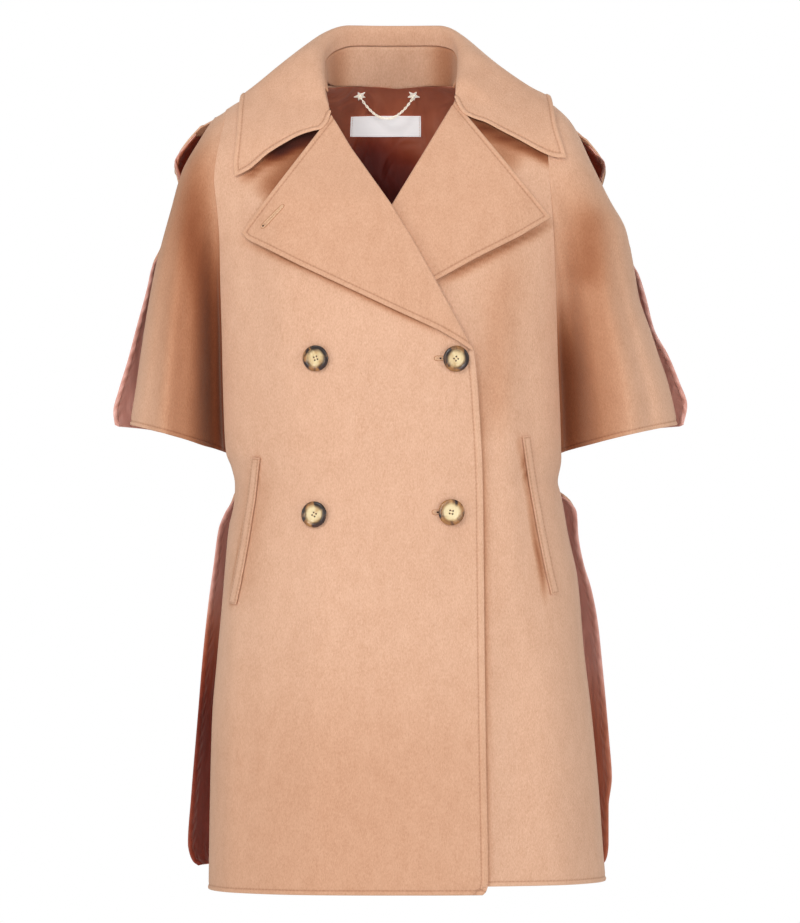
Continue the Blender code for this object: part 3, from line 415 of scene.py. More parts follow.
def spread(length: float, coarse: float, fine: float, reach: float,
           ends: tuple[bool, bool]) -> Array:
    """Shares from 0 to 1 whose steps run from fine at the chosen ends to coarse a reach away.

    Args:
        length: The distance that the shares divide, in metres.
        coarse: Step well inside.
        fine: Step at a chosen end.
        reach: Distance over which the step grows.
        ends: Whether the start and the end are fine.

    Returns:
        The shares, from the running sum of 1 / step turned round.
    """
    place = np.linspace(0, length, 3000)
    away = np.full_like(place, np.inf)
    away = np.minimum(away, place) if ends[0] else away
    away = np.minimum(away, length - place) if ends[1] else away
    step = fine + (coarse - fine) * smooth_step(away / reach)
    total = np.concatenate(([0], np.cumsum(np.diff(place) / step[1:])))
    count = max(int(math.ceil(total[-1])), 2)
    return np.interp(np.linspace(0, total[-1], count + 1), total, place) / length


def distance_to(points: Array, border: Array) -> tuple[Array, Array]:
    """Shortest distance from each point to a polyline, and how far along it the foot lies.

    Args:
        points: Any shape ending in 3.
        border: The polyline's corners, (n, 3).

    Returns:
        Distance and run, both in metres, in the shape of points without its last axis.
    """
    flat = points.reshape(-1, 3)
    starts, ways = border[:-1], np.diff(border, axis=0)
    lengths = np.linalg.norm(ways, axis=1)
    runs = np.concatenate(([0], np.cumsum(lengths)))[:-1]
    best, run = np.full(len(flat), np.inf), np.zeros(len(flat))
    for start, way, length, before in zip(starts, ways, np.maximum(lengths, 1e-9), runs):
        t = np.clip((flat - start) @ way / length ** 2, 0, 1)
        away = np.linalg.norm(flat - start - t[:, None] * way, axis=1)
        closer = away < best
        best = np.where(closer, away, best)
        run = np.where(closer, before + t * length, run)
    return best.reshape(points.shape[:-1]), run.reshape(points.shape[:-1])


def by_side(x: Array, right: Array, left: Array) -> Array:
    """The right side's value where x is negative, and the left side's elsewhere."""
    return np.where(x < 0, right, left)


def solve_top(across: Callable[[Array], Array], ridge: Callable[[Array], Array]) -> Array:
    """Heights at which columns meet the ridge, found by substituting one in the other.

    Args:
        across: Places across at given levels.
        ridge: Levels at given places across.

    Returns:
        A level for each column.
    """
    z = np.zeros_like(across(0.0))
    for _ in range(12):
        z = ridge(across(z))
    return z


# ---- the garment's faces

@dataclass(frozen=True)
class Form:
    """The faces on which every piece lies: depth over the place across and the level."""

    power: float = SECTION_POWER
    shoulder_round: float = SHOULDER_ROUND

    def half_width(self, z: Array, side: Side) -> Array:
        """Half width of the body's section."""
        return smooth_column(BODY_LEVELS[side], 1, z)

    def seam_across(self, z: Array, side: Side) -> Array:
        """How far out the sleeve seam or the side edge lies."""
        return self.half_width(z, side) * smooth_column(BODY_LEVELS[side], 2, z) / MM

    def ridge(self, x: Array, side: Side) -> Array:
        """Height of the shoulder seam."""
        return smooth_column(RIDGE[side], 1, np.abs(x))

    def both_ridges(self, x: Array) -> Array:
        """Height of the shoulder seam, each place with its own side's table."""
        return by_side(x, self.ridge(x, RIGHT), self.ridge(x, LEFT))

    def seam_top(self, side: Side) -> float:
        """Where the sleeve seam leaves the shoulder ridge."""
        return float(solve_top(lambda z: self.seam_across(z, side), lambda x: self.ridge(x, side)))

    def rounding(self, drop: Array) -> Array:
        """0 on the ridge and 1 once the panel is fully out, as a quarter circle."""
        t = np.clip(drop / self.shoulder_round, 0, 1)
        return np.sqrt(1 - (1 - t) ** 2)

    def section(self, ratio: Array) -> Array:
        """Body section: (1 - |ratio|^p)^(1/p)."""
        return (1 - np.clip(np.abs(ratio), 0, 1) ** self.power) ** (1 / self.power)

    def drop(self, x: Array, z: Array) -> Array:
        """How far below the shoulder ridge a place lies."""
        return self.both_ridges(x) - z

    def front(self, x: Array, z: Array, lowered: Array = 0.0) -> Array:
        """The fronts' outer face; lowered drops the ridge."""
        width = by_side(x, self.half_width(z, RIGHT), self.half_width(z, LEFT))
        depth = smooth_column(DEPTH_LEVELS, 1, z)
        return -depth * self.section(x / width) * self.rounding(self.drop(x, z) - lowered)

    def lapped_front(self, x: Array, z: Array) -> Array:
        """The right front's outer face, which stands off the left front where it laps over."""
        share = smooth_step((x - LAP_FROM) / (LAP_FULL - LAP_FROM))
        return self.front(x, z) - smooth_column(LAP_LEVELS, 1, z) * share

    def front_of(self, side: Side) -> Face:
        """The outer face of one front."""
        return self.lapped_front if side is RIGHT else self.front

    def back_width(self, z: Array, side: Side) -> Array:
        """Half width of the back's section, wider along the side slit."""
        place = smooth_column(BACK_EDGE_LEVELS[side], 2, z) / MM
        slit = smooth_column(BACK_EDGE_LEVELS[side], 1, z) / place
        return np.where(z < SIDE_SLIT_TOP, slit, self.half_width(z, side))

    def back(self, x: Array, z: Array, lowered: Array = 0.0) -> Array:
        """The back's outer face."""
        width = by_side(x, self.back_width(z, RIGHT), self.back_width(z, LEFT))
        depth = smooth_column(DEPTH_LEVELS, 2, z)
        return depth * self.section(x / width) * self.rounding(self.drop(x, z) - lowered)

    def neckline(self, x: Array) -> Array:
        """Height of the back's top edge: level across the neck, and then along the ridge."""
        neck = NECK_LEVEL + NECK_RISE * np.sin(np.clip(np.abs(x) / NECK_HALF, 0, 1) * math.pi)
        return np.minimum(self.both_ridges(x), neck)

    def flap(self, x: Array, z: Array) -> Array:
        """The storm flap's outer face: a boxier section, hung a little behind the back.

        Args:
            x: Places across.
            z: Levels.

        Returns:
            Depths.
        """
        reach = by_side(x, smooth_column(FLAP_OUTLINE, 1, z), smooth_column(FLAP_OUTLINE, 2, z))
        ratio = np.clip(np.abs(x) / (reach / FLAP_END), 0, 1)
        hung = (1 - ratio ** FLAP_POWER) ** (1 / FLAP_POWER)
        depth = smooth_column(DEPTH_LEVELS, 2, z) + FLAP_STAND_OFF
        return depth * hung * self.rounding(self.drop(x * 0.8, z) + FLAP_RAISE)

    def normal(self, face: Face, x: Array, z: Array, outward: int) -> Array:
        """Unit normal of a face, from half-millimetre differences; outward is the sign of y."""
        step = 0.5 * MM
        slope_x = (face(x + step, z) - face(x - step, z)) / (2 * step)
        slope_z = (face(x, z + step) - face(x, z - step)) / (2 * step)
        return unit(np.stack([-slope_x, np.ones_like(slope_x), -slope_z], axis=-1) * outward)

    def on_face(self, face: Face, x: Array, z: Array, outward: int, height: Array) -> Array:
        """Points at a height over a face, measured along its normal."""
        x, z = np.asarray(x, float), np.asarray(z, float)
        foot = np.stack([x, face(x, z), z], axis=-1)
        return foot + self.normal(face, x, z, outward) * np.asarray(height)[..., None]

    def inside_neck(self, x: Array, z: Array, height: Array) -> Array:
        """Points inside the back neck, at a height off the lining's face."""
        depth = WOOL + LINING_GAP + LINING + SEAM_GAP + np.asarray(height)
        return self.on_face(self.back, x, z, 1, -depth)


FORM = Form()


# ---- cloth walls

def grid_normals(grid: Array) -> Array:
    """Unit normals of a grid, from its central differences."""
    return unit(np.cross(np.gradient(grid, axis=1), np.gradient(grid, axis=0)))


def facing(grid: Array, way: Sequence[float]) -> Array:
    """Normals of a grid, turned so that on the whole they point the given way."""
    normal = grid_normals(grid)
    return normal if (normal @ np.array(way, float)).sum() > 0 else -normal


def in_front(points: Array) -> Array:
    """Keep points in front of the seam plane over the shoulders and down the sides."""
    kept = points.copy()
    kept[..., 1] = np.minimum(kept[..., 1], -SEAM_GAP / 2)
    return kept


def behind(points: Array) -> Array:
    """Keep points behind the seam plane."""
    kept = points.copy()
    kept[..., 1] = np.maximum(kept[..., 1], SEAM_GAP / 2)
    return kept


def rim_of(rows: int, columns: int) -> tuple[Array, Array]:
    """Indices round a grid's border, and of the inner point that each is pulled towards.

    Args:
        rows: Rows of the grid.
        columns: Columns of the grid.

    Returns:
        Border indices and the inner indices.
    """
    index = np.arange(rows * columns).reshape(rows, columns)
    rim = np.concatenate([index[0, :], index[1:, -1], index[-1, -2::-1], index[-2:0:-1, 0]])
    row, column = np.divmod(rim, columns)
    return rim, index[np.clip(row, 1, rows - 2), np.clip(column, 1, columns - 2)]


def make_object(name: str, mesh: bpy.types.Mesh, finish: Material) -> Object:
    """Link a mesh at the origin with its finish and smooth shading."""
    mesh.materials.append(finish)
    mesh.shade_smooth()
    thing = bpy.data.objects.new(name, mesh)
    bpy.context.scene.collection.objects.link(thing)
    return thing


def mesh_from(name: str, points: Array, quads: Array, values: dict[str, Array]) -> bpy.types.Mesh:
    """A quad mesh from whole arrays, with one float attribute for each named value.

    Args:
        name: The mesh's name.
        points: Corners, (n, 3).
        quads: Corner numbers, (m, 4).
        values: Attribute values by name, one for each corner.

    Returns:
        The mesh.
    """
    mesh = bpy.data.meshes.new(name)
    mesh.vertices.add(len(points))
    mesh.vertices.foreach_set("co", points.astype(np.float32).ravel())
    mesh.loops.add(quads.size)
    mesh.loops.foreach_set("vertex_index", quads.astype(np.int32).ravel())
    mesh.polygons.add(len(quads))
    mesh.polygons.foreach_set("loop_start", np.arange(0, quads.size, 4, dtype=np.int32))
    mesh.update(calc_edges=True)
    mesh.validate()
    for key, value in values.items():
        layer = mesh.attributes.new(key, "FLOAT", "POINT")
        layer.data.foreach_set("value", value.astype(np.float32).ravel())
    return mesh


@dataclass
class Wall:
    """A closed sheet of cloth between two grids of one size, with a rounded rim.

    The border points of both grids are pulled inwards and three loops run round between them, the
    outer two a RIM_STEP of the way through, so that the rim is close to a half round.
    """

    outer: Array
    inner: Array
    pull: float = 0.8 * MM
    values: dict[str, Array] = field(default_factory=dict)

    def build(self, name: str, finish: Material) -> Object:
        """The wall as an object, its normals outward.

        Args:
            name: The piece's name.
            finish: Its material.

        Returns:
            The object.
        """
        rows, columns = self.outer.shape[:2]
        count = rows * columns
        outer, inner = self.outer.reshape(-1, 3).copy(), self.inner.reshape(-1, 3).copy()
        rim, towards = rim_of(rows, columns)
        high, low = outer[rim], inner[rim]
        reach = outer[towards] - high
        length = np.linalg.norm(reach, axis=1, keepdims=True)
        way = unit(reach) * np.minimum(self.pull, 0.45 * length)
        loops = [high + (low - high) * RIM_STEP + way * RIM_IN, (high + low) / 2,
                 low + (high - low) * RIM_STEP + way * RIM_IN]
        outer[rim] += way
        inner[rim] += way
        index = np.arange(count).reshape(rows, columns)
        cells = np.stack([index[:-1, :-1], index[1:, :-1], index[1:, 1:], index[:-1, 1:]], axis=-1)
        quads = [cells.reshape(-1, 4), (cells[..., ::-1] + count).reshape(-1, 4)]
        turns = [2 * count + k * len(rim) + np.arange(len(rim)) for k in range(len(loops))]
        bands = [rim, *turns, rim + count]
        for above, below in zip(bands, bands[1:]):
            quads.append(np.stack([above, np.roll(above, -1), np.roll(below, -1), below], axis=-1))
        quads = np.concatenate(quads)
        points = np.concatenate([outer, inner, *loops])
        corner = points[quads]
        area = np.cross(corner[:, 2] - corner[:, 0], corner[:, 3] - corner[:, 1])
        if (area * corner.mean(axis=1)).sum() < 0:
            quads = quads[:, ::-1]
        values = {key: self.on_all(key, value, rim) for key, value in self.values.items()}
        return make_object(name, mesh_from(name, points, quads, values), finish)

    def on_all(self, key: str, value: Array, rim: Array) -> Array:
        """A grid's value carried to the inner face, which has no sewn line, and round the rim."""
        flat = np.broadcast_to(value, self.outer.shape[:2]).ravel()
        inner = np.full(flat.shape, NO_LINE) if key == "line" else flat
        return np.concatenate([flat, inner, np.tile(flat[rim], 3)])


@dataclass
class SewnLine:
    """A stitched line that runs beside one or more borders of a grid, in millimetres."""

    borders: list[Array]
    inset: float

    def on(self, grid: Array) -> tuple[Array, Array]:
        """Signed distance to the line, positive inside it, and the run along the border.

        Args:
            grid: The face, (rows, columns, 3).

        Returns:
            Distance and run at each point, in millimetres.
        """
        best, run = None, None
        for border in self.borders:
            away, along = distance_to(grid, border)
            if best is None:
                best, run = away, along
            else:
                run = np.where(away < best, along, run)
                best = np.minimum(away, best)
        return best / MM - self.inset, run / MM


def stitched(grid: Array, way: Sequence[float], values: dict[str, Array], puff: float = 0.75 * MM,
             groove: float = 0.55 * MM) -> Array:
    """A cloth face pressed in along its sewn line and swollen between the line and the edge.

    Args:
        grid: The face.
        way: Roughly its outward direction.
        values: Its line attribute.
        puff: Height of the swelling.
        groove: Depth of the line.

    Returns:
        The moved face.
    """
    line = values["line"]
    raised = puff * np.exp(-((line + 2.6) / 1.9) ** 2) - groove * np.exp(-(line / 1.15) ** 2)
    return grid + facing(grid, way) * raised[..., None]


def grid_area(grid: Array) -> float:
    """Area of a grid of points, by the cross products of its cells' diagonals."""
    one = grid[1:, 1:] - grid[:-1, :-1]
    two = grid[1:, :-1] - grid[:-1, 1:]
    return float(np.linalg.norm(np.cross(one, two), axis=-1).sum() / 2)


def declare(thing: Object, node: str, slot: Slot) -> None:
    """Let a piece stand for its node and ride with the garment."""
    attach(thing, "root")
    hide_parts(node)


@dataclass(frozen=True)
class Cut:
    """The flat piece from which a sheet is cut: its width, length and share of cloth in them."""

    width: float
    length: float
    hold: Hold = Hold.HUNG

    def state(self, thing: Object, area: float) -> None:
        box = self.width * self.length
        LOG.info("%s flat %.3f x %.3f m, cloth %.4f m2, share %.3f", thing.name, self.width,
                 self.length, area, area / box)

    def dress(self, wall: Wall, name: str, node: str, finish: Material, slot: Slot,
              shown: Array) -> Object:
        """Build a sheet's wall, let it stand for its node and state its cut.

        Args:
            wall: The sheet's wall.
            name: The piece's name.
            node: The node that it stands for.
            finish: Its material.
            slot: The record's slot; not used.
            shown: The grid whose area is the cloth's.

        Returns:
            The piece.
        """
        thing = wall.build(name, finish)
        declare(thing, node, slot)
        self.state(thing, grid_area(shown))
        return thing


# ---- shader sums

Operand = Union["Value", float]
Colour = tuple[float, float, float]


def srgb(code: str) -> Colour:
    """Linear colour of a six-figure screen colour."""
    parts = [int(code[k:k + 2], 16) / 255 for k in (0, 2, 4)]
    return tuple(p / 12.92 if p < 0.04045 else ((p + 0.055) / 1.055) ** 2.4 for p in parts)


@dataclass(frozen=True)
class Value:
    """A node's output on which sums can be written."""

    graph: "Graph"
    socket: Any

    def __add__(self, other: Operand) -> "Value":
        """Sum."""
        return self.graph.math("ADD", self, other)

    def __sub__(self, other: Operand) -> "Value":
        """Difference."""
        return self.graph.math("SUBTRACT", self, other)

    def __rsub__(self, other: Operand) -> "Value":
        """Reflected difference."""
        return self.graph.math("SUBTRACT", other, self)

    def __mul__(self, other: Operand) -> "Value":
        """Product."""
        return self.graph.math("MULTIPLY", self, other)

    def __truediv__(self, other: Operand) -> "Value":
        """Quotient."""
        return self.graph.math("DIVIDE", self, other)

    def __neg__(self) -> "Value":
        """Opposite."""
        return self * -1.0

    __radd__, __rmul__ = __add__, __mul__

    def sine(self) -> "Value":
        """Sine."""
        return self.graph.math("SINE", self)

    def swell(self, middle: float, width: float) -> "Value":
        """A soft swelling: e to the minus square of the distance from the middle over the width."""
        away = (self - middle) / width
        return self.graph.math("POWER", math.e, -(away * away))

    def soft(self, low: float, high: float) -> "Value":
        """0 at low and 1 at high, smooth between and level beyond."""
        return self.graph.node("MapRange", {"interpolation_type": "SMOOTHSTEP"},
                               {"Value": self, "From Min": low, "From Max": high}, "Result")


class Graph:
    """One material's nodes."""

    def __init__(self, name: str) -> None:
        """Start an empty material."""
        self.material = bpy.data.materials.new(name)
        self.material.use_nodes = True
        self.tree = self.material.node_tree
        self.tree.nodes.clear()

    def node(self, kind: str, settings: dict[str, Any], inputs: dict[str, Any],
             output: str) -> Value:
        """Add a node: its type, then its settings, then its inputs.

        Args:
            kind: Type without its ShaderNode prefix.
            settings: Properties of the node.
            inputs: Sockets by name or identifier; a Value is linked and a constant is set.
            output: Name or identifier of the output.

        Returns:
            The output.
        """
        made = self.tree.nodes.new("ShaderNode" + kind)
        for key, setting in settings.items():
            setattr(made, key, setting)
        for key, value in inputs.items():
            socket = self.pick(made.inputs, key)
            if isinstance(value, Value):
                self.tree.links.new(value.socket, socket)
            else:
                socket.default_value = value
        return Value(self, self.pick(made.outputs, output))

    @staticmethod
    def pick(sockets: Any, key: str) -> Any:
        """The socket with that identifier, or else with that name."""
        same = [s for s in sockets if s.identifier == key] + [s for s in sockets if s.name == key]
        return same[0]

    def math(self, operation: str, *operands: Operand) -> Value:
        """One Math node.

        Args:
            operation: The node's operation.
            operands: Values that are linked, or constants.

        Returns:
            The result.
        """
        made = self.tree.nodes.new("ShaderNodeMath")
        made.operation = operation
        for socket, operand in zip(made.inputs, operands):
            if isinstance(operand, Value):
                self.tree.links.new(operand.socket, socket)
            else:
                socket.default_value = operand
        return Value(self, made.outputs[0])

    def mix(self, low: Union[Value, Colour], high: Union[Value, Colour], share: Operand,
            blend: str = "MIX") -> Value:
        """Blend two colours by a share from 0 to 1."""
        ends = [c if isinstance(c, Value) else (*c, 1.0) for c in (low, high)]
        return self.node("Mix", {"data_type": "RGBA", "blend_type": blend},
                         {"Factor_Float": share, "A_Color": ends[0], "B_Color": ends[1]},
                         "Result_Color")

    def place(self, stretch: Colour = (1, 1, 1), turn: float = 0.0) -> Value:
        """Object coordinates, turned about the depth axis and stretched."""
        inputs = {"Vector": self.node("TexCoord", {}, {}, "Object"), "Rotation": (0, turn, 0),
                  "Scale": stretch}
        return self.node("Mapping", {}, inputs, "Vector")

    def noise(self, place: Value, scale: float, detail: float = 2.0, roughness: float = 0.5,
              distortion: float = 0.0) -> Value:
        """Noise about 0, from about -1 to 1."""
        raw = self.node("TexNoise", {}, {"Vector": place, "Scale": scale, "Detail": detail,
                                         "Roughness": roughness, "Distortion": distortion}, "Fac")
        return (raw - 0.5) * 2.0

    def attribute(self, name: str) -> Value:
        """A float attribute of the mesh."""
        return self.node("Attribute", {"attribute_name": name}, {}, "Fac")

    def shaded(self, colour: Value, painted_shade: Value, powers: Colour) -> Value:
        """A colour darkened by painted shade: each part by e to the minus the shade times its power.
        """
        parts = [self.math("POWER", math.e, painted_shade * -power) for power in powers]
        tint = self.node("CombineColor", {}, dict(zip(("Red", "Green", "Blue"), parts)), "Color")
        return self.mix(colour, tint, 1.0, "MULTIPLY")

    def finish(self, surface: dict[str, Any], height: Optional[Value] = None) -> Material:
        """Close the material with a Principled shader and, where given, a height in metres.

        Args:
            surface: The shader's inputs by name.
            height: Relief in metres.

        Returns:
            The material.
        """
        inputs = dict(surface)
        if height is not None:
            bump_inputs = {"Height": height, "Distance": 1.0, "Strength": 1.0}
            inputs["Normal"] = self.node("Bump", {}, bump_inputs, "Normal")
        shader = self.node("BsdfPrincipled", {}, inputs, "BSDF")
        output = self.tree.nodes.new("ShaderNodeOutputMaterial")
        self.tree.links.new(shader.socket, output.inputs["Surface"])
        return self.material


# ---- finishes

@dataclass(frozen=True)
class Wool:
    """Felted double wool: a fine upright nap, faint clouds, and a groove along each sewn line."""

    light: Colour = srgb("E6BB9F")
    shade: Colour = srgb("C89778")
    deep: Colour = srgb("9A6444")
    # colour of the painted highlight along each swollen rim
    rim_highlight: Colour = srgb("E9BE9C")
    roughness: float = 0.88
    nap: float = 0.20 * MM
    groove: float = 0.30 * MM
    groove_width: float = 0.85
    stitch_pitch: float = 4.2
    painted_shade_powers: Colour = (1.0, 1.66, 2.2)

    def make(self, name: str) -> Material:
        """The finish; it reads the mesh's line and run attributes, and the painted shade attribute
        that darkens its colour in place of shadow.

        Args:
            name: The material's name.

        Returns:
            The material.
        """
        g = Graph(name)
        upright = g.place((1.0, 1.0, 0.45))
        nap = g.noise(upright, 750, 3.0, 0.6)
        fibre = g.noise(g.place((1.0, 1.0, 0.28), 0.35), 1900, 2.0, 0.6)
        cloud = g.noise(g.place((1.0, 1.0, 0.6)), 70, 3.0, 0.55)
        broad = g.noise(g.place(), 9, 2.0, 0.5)
        line, run, painted_shade = g.attribute("line"), g.attribute("run"), g.attribute("painted_shade")
        stitch = (run * (2 * math.pi / self.stitch_pitch)).sine() * 0.5 + 0.5
        groove = line.swell(0.0, self.groove_width)
        pinch = groove * (0.62 + 0.38 * stitch)
        tone = (0.46 + nap * 0.44 + fibre * 0.36 + cloud * 0.17 + broad * 0.08)
        colour = g.mix(self.light, self.shade, tone.soft(0.0, 1.0))
        colour = g.mix(colour, self.deep, pinch * 0.5)
        # painted highlight on the swollen rim between the sewn line and the edge
        rim_highlight = line.swell(-4.2, 1.6)
        colour = g.mix(colour, self.rim_highlight, rim_highlight * 0.16)
        # painted shade: the colour darkens where the attribute says shadow would fall
        colour = g.shaded(colour, painted_shade, self.painted_shade_powers)
        height = (nap * self.nap + fibre * (self.nap * 0.45) + cloud * (self.nap * 1.6)
                  - pinch * self.groove)
        return g.finish({
            "Base Color": colour, "Roughness": self.roughness, "Sheen Weight": 0.24,
            "Sheen Roughness": 0.5, "Sheen Tint": (1.0, 0.82, 0.66, 1.0),
            "Specular IOR Level": 0.25,
        }, height)


@dataclass(frozen=True)
class Satin:
    """Satin lining: a soft shine on shallow wrinkles, puckered along its sewn edges; painted light on
    the ridges, painted shade in the troughs.
    """

    light: Colour = srgb("F2C0B4")
    middle: Colour = srgb("DCA092")
    dark: Colour = srgb("9C5A4A")
    roughness: float = 0.42
    wrinkle: float = 3.0 * MM
    pucker: float = 0.5 * MM
    tuck_pitch: float = 15.0
    painted_shade_powers: Colour = (1.0, 2.2, 3.2)

    def make(self, name: str) -> Material:
        """The finish; it reads the mesh's line and run attributes, and the painted shade attribute
        that darkens its colour in place of shadow.

        Args:
            name: The material's name.

        Returns:
            The material.
        """
        g = Graph(name)
        long = g.noise(g.place((1.0, 1.0, 0.45)), 24, 2.0, 0.45, 1.4)
        slant = g.noise(g.place((0.9, 1.0, 0.32), 0.6), 55, 2.0, 0.5, 0.4)
        weave = g.noise(g.place((0.3, 1.0, 1.0)), 1500, 1.0)
        line, run = g.attribute("line"), g.attribute("run")
        wander = long * 2.2 + slant * 1.2
        tuck = (run * (2 * math.pi / self.tuck_pitch) + line * 0.42 + wander * 1.6).sine()
        near = line.swell(0.0, 6.5)
        seam = line.swell(0.0, 0.6)
        height = (long * self.wrinkle + slant * (self.wrinkle * 0.42) + tuck * near * self.pucker
                  + weave * 0.02 * MM - seam * 0.6 * MM)
        # painted light and shade: the tone follows the wrinkles' own height, lighter on ridges and
        # darker in troughs; the sewn line is darker too
        tone = 0.5 + long * 0.5 + slant * 0.25 + tuck * near * 0.18
        colour = g.mix(self.middle, self.light, tone.soft(0.35, 1.1))
        colour = g.mix(colour, self.dark, (1.0 - tone).soft(0.45, 1.15) * 0.55 + seam * 0.4)
        # painted shade: the attribute darkens the colour, and raises the roughness to damp the shine
        # in the shaded hollows
        painted_shade = g.attribute("painted_shade")
        return g.finish({
            "Base Color": g.shaded(colour, painted_shade, self.painted_shade_powers),
            "Roughness": self.roughness + weave * 0.05 + painted_shade * 0.15,
            "Sheen Weight": 0.18, "Sheen Roughness": 0.35, "Sheen Tint": (0.95, 0.72, 0.66, 1.0),
            "Specular IOR Level": 0.5,
        }, height)


@dataclass(frozen=True)
class Horn:
    """Polished horn: a cream middle, and a rim mottled dark, with painted shade that leaves it darker
    towards its top and amber towards the foot.
    """

    cream: Colour = srgb("EAD6A8")
    gold: Colour = srgb("B98A50")
    amber: Colour = srgb("9C6A3A")
    dark: Colour = srgb("22140F")
    plum: Colour = srgb("4A2A24")
    hole: Colour = srgb("1C100C")

    def make(self, name: str) -> Material:
        """The finish; it reads how far out and how high on the button each point lies.

        Args:
            name: The material's name.

        Returns:
            The material.
        """
        g = Graph(name)
        out, high = g.attribute("out"), g.attribute("high")
        streak = g.noise(g.place((1.0, 1.0, 0.6), 0.5), 75, 3.0, 0.5, 0.8)
        speck = g.noise(g.place(), 420, 2.0, 0.6)
        rim = (out + streak * 0.16).soft(0.48, 0.80)
        # dark horn mottling, with painted shade that makes the rim darker towards its top; the dark
        # turns plum towards the foot
        mottle_and_shade = (high * 0.30 + streak * 2.4 + 0.34).soft(0.0, 0.7)
        turned = (out * 0.75 + streak * 0.8 + speck * 0.12).soft(0.15, 0.95)
        middle = g.mix(self.cream, self.gold, turned)
        edge = g.mix(self.amber, self.gold, (speck * 0.3 - streak * 0.8).soft(0.0, 0.7))
        shadow = g.mix(self.dark, self.plum, (speck * 0.5 - high * 0.5).soft(0.0, 0.8))
        colour = g.mix(middle, g.mix(edge, shadow, mottle_and_shade), rim)
        # painted shade: the holes' shallow dents are coloured near black where a hole's depth would
        # lie in shadow
        colour = g.mix(colour, self.hole, g.attribute("pit").soft(0.12, 0.45))
        return g.finish({"Base Color": colour, "Roughness": 0.34, "Coat Weight": 0.25,
                         "Coat Roughness": 0.12, "Specular IOR Level": 0.45},
                        streak * 0.02 * MM)


@dataclass(frozen=True)
class Plain:
    """A finish in one colour with a faint unevenness: gilt, tape, thread or the painted shade of an
    opening; a glow paints light.
    """

    colour: Colour
    other: Colour
    roughness: float
    metallic: float = 0.0
    grain: float = 400.0
    relief: float = 0.03 * MM
    stretch: Colour = (1.0, 1.0, 1.0)
    painted_glow: float = 0.0

    def make(self, name: str) -> Material:
        """The finish; a glow paints light onto the gilt and the tape, which the lamps leave dim.

        Args:
            name: The material's name.

        Returns:
            The material.
        """
        g = Graph(name)
        grain = g.noise(g.place(self.stretch), self.grain, 2.0)
        return g.finish({
            "Base Color": g.mix(self.colour, self.other, (grain + 0.5).soft(0.0, 1.0)),
            "Roughness": self.roughness + grain * 0.04, "Metallic": self.metallic,
            "Emission Color": (1.0, 1.0, 1.0, 1.0), "Emission Strength": self.painted_glow,
        }, grain * self.relief)


class Finishes:
    """Every finish of the garment, each made once."""

    def __init__(self) -> None:
        """Make the cloths, the horn, the metal and the small finishes."""
        yarn = {"grain": 1400.0, "relief": 0.08 * MM}
        self.wool = Wool().make("camel_wool_cloth")
        self.lining = Satin().make("mauve_satin")
        self.horn = Horn().make("horn_button")
        # the gilt and the tape glow: painted light
        self.gilt = Plain(srgb("FFFCF0"), srgb("F8E9C0"), 0.28, 0.25,
                          painted_glow=0.30).make("pale_gilt_metal")
        self.tape = Plain(srgb("FBFBFD"), srgb("F0F1F5"), 0.62, grain=900.0, relief=0.05 * MM,
                          stretch=(0.3, 1.0, 1.0), painted_glow=0.30).make("white_tape_weave")
        self.thread = Plain(srgb("E9C19F"), srgb("B98A66"), 0.7, **yarn).make("camel_thread")
        self.seam = Plain(srgb("C48E6C"), srgb("AC7453"), 0.8, **yarn).make("seam_thread")
        # painted shade for the buttonholes' eyes
        self.dark = Plain(srgb("4A2C1E"), srgb("2C1812"), 0.95).make("opening_shade")


# ---- creases and rows

@dataclass(frozen=True)
class Crease:
    """A soft trough along a path over the cloth, in millimetres; a ridge has a negative depth.

    Used as painted shade, its depth says how strongly the colour there is darkened where shadow would
    fall.
    """

    path: Rows
    width: float
    depth: float

    def on(self, x: Array, z: Array) -> Array:
        """Its depth at each place: a soft swelling across that fades to its ends.

        Args:
            x: Places across.
            z: Levels.

        Returns:
            The depth, in the table's own unit.
        """
        place = np.stack(np.broadcast_arrays(x, np.zeros_like(x), z), axis=-1)
        corners = np.array([(across, 0.0, level) for across, level in self.path]) * MM
        away, run = distance_to(place, corners)
        length = np.linalg.norm(np.diff(corners, axis=0), axis=1).sum()
        fade = smooth_step(run / (0.3 * length)) * smooth_step((length - run) / (0.25 * length))
        return self.depth * np.exp(-(away / (self.width * MM)) ** 2) * fade


def total(creases: Sequence[Crease], x: Array, z: Array) -> Array:
    """The sum of several creases' depths at each place."""
    return sum((crease.on(x, z) for crease in creases), np.zeros(np.broadcast(x, z).shape))


FRONT_CREASES: dict[Side, tuple[Crease, ...]] = {
    RIGHT: (
        Crease(((-20, -300), (-30, -480), (-26, -700), (-20, -900)), 30, 2.6),
        Crease(((20, -330), (24, -560), (30, -900)), 26, -2.2),
        Crease(((-118, -330), (-124, -560), (-128, -900)), 26, 3.0),
        Crease(((-72, -420), (-78, -620), (-84, -900)), 28, -2.6),
        Crease(((-176, -470), (-178, -660), (-182, -900)), 12, -3.0),
        Crease(((-150, -180), (-142, -300), (-134, -420)), 20, 2.2),
        Crease(((82, -300), (70, -420), (62, -560)), 16, 1.4),
    ),
    LEFT: (
        Crease(((110, -190), (112, -290), (120, -400), (128, -560)), 15, -3.2),
        Crease(((84, -150), (88, -260), (94, -420)), 16, 2.6),
        Crease(((140, -240), (142, -340), (146, -450)), 13, 2.2),
        Crease(((116, -520), (122, -700), (126, -900)), 20, 3.0),
        Crease(((160, -560), (170, -720), (178, -900)), 18, -3.2),
        Crease(((194, -560), (202, -720), (208, -900)), 11, 2.6),
    ),
}
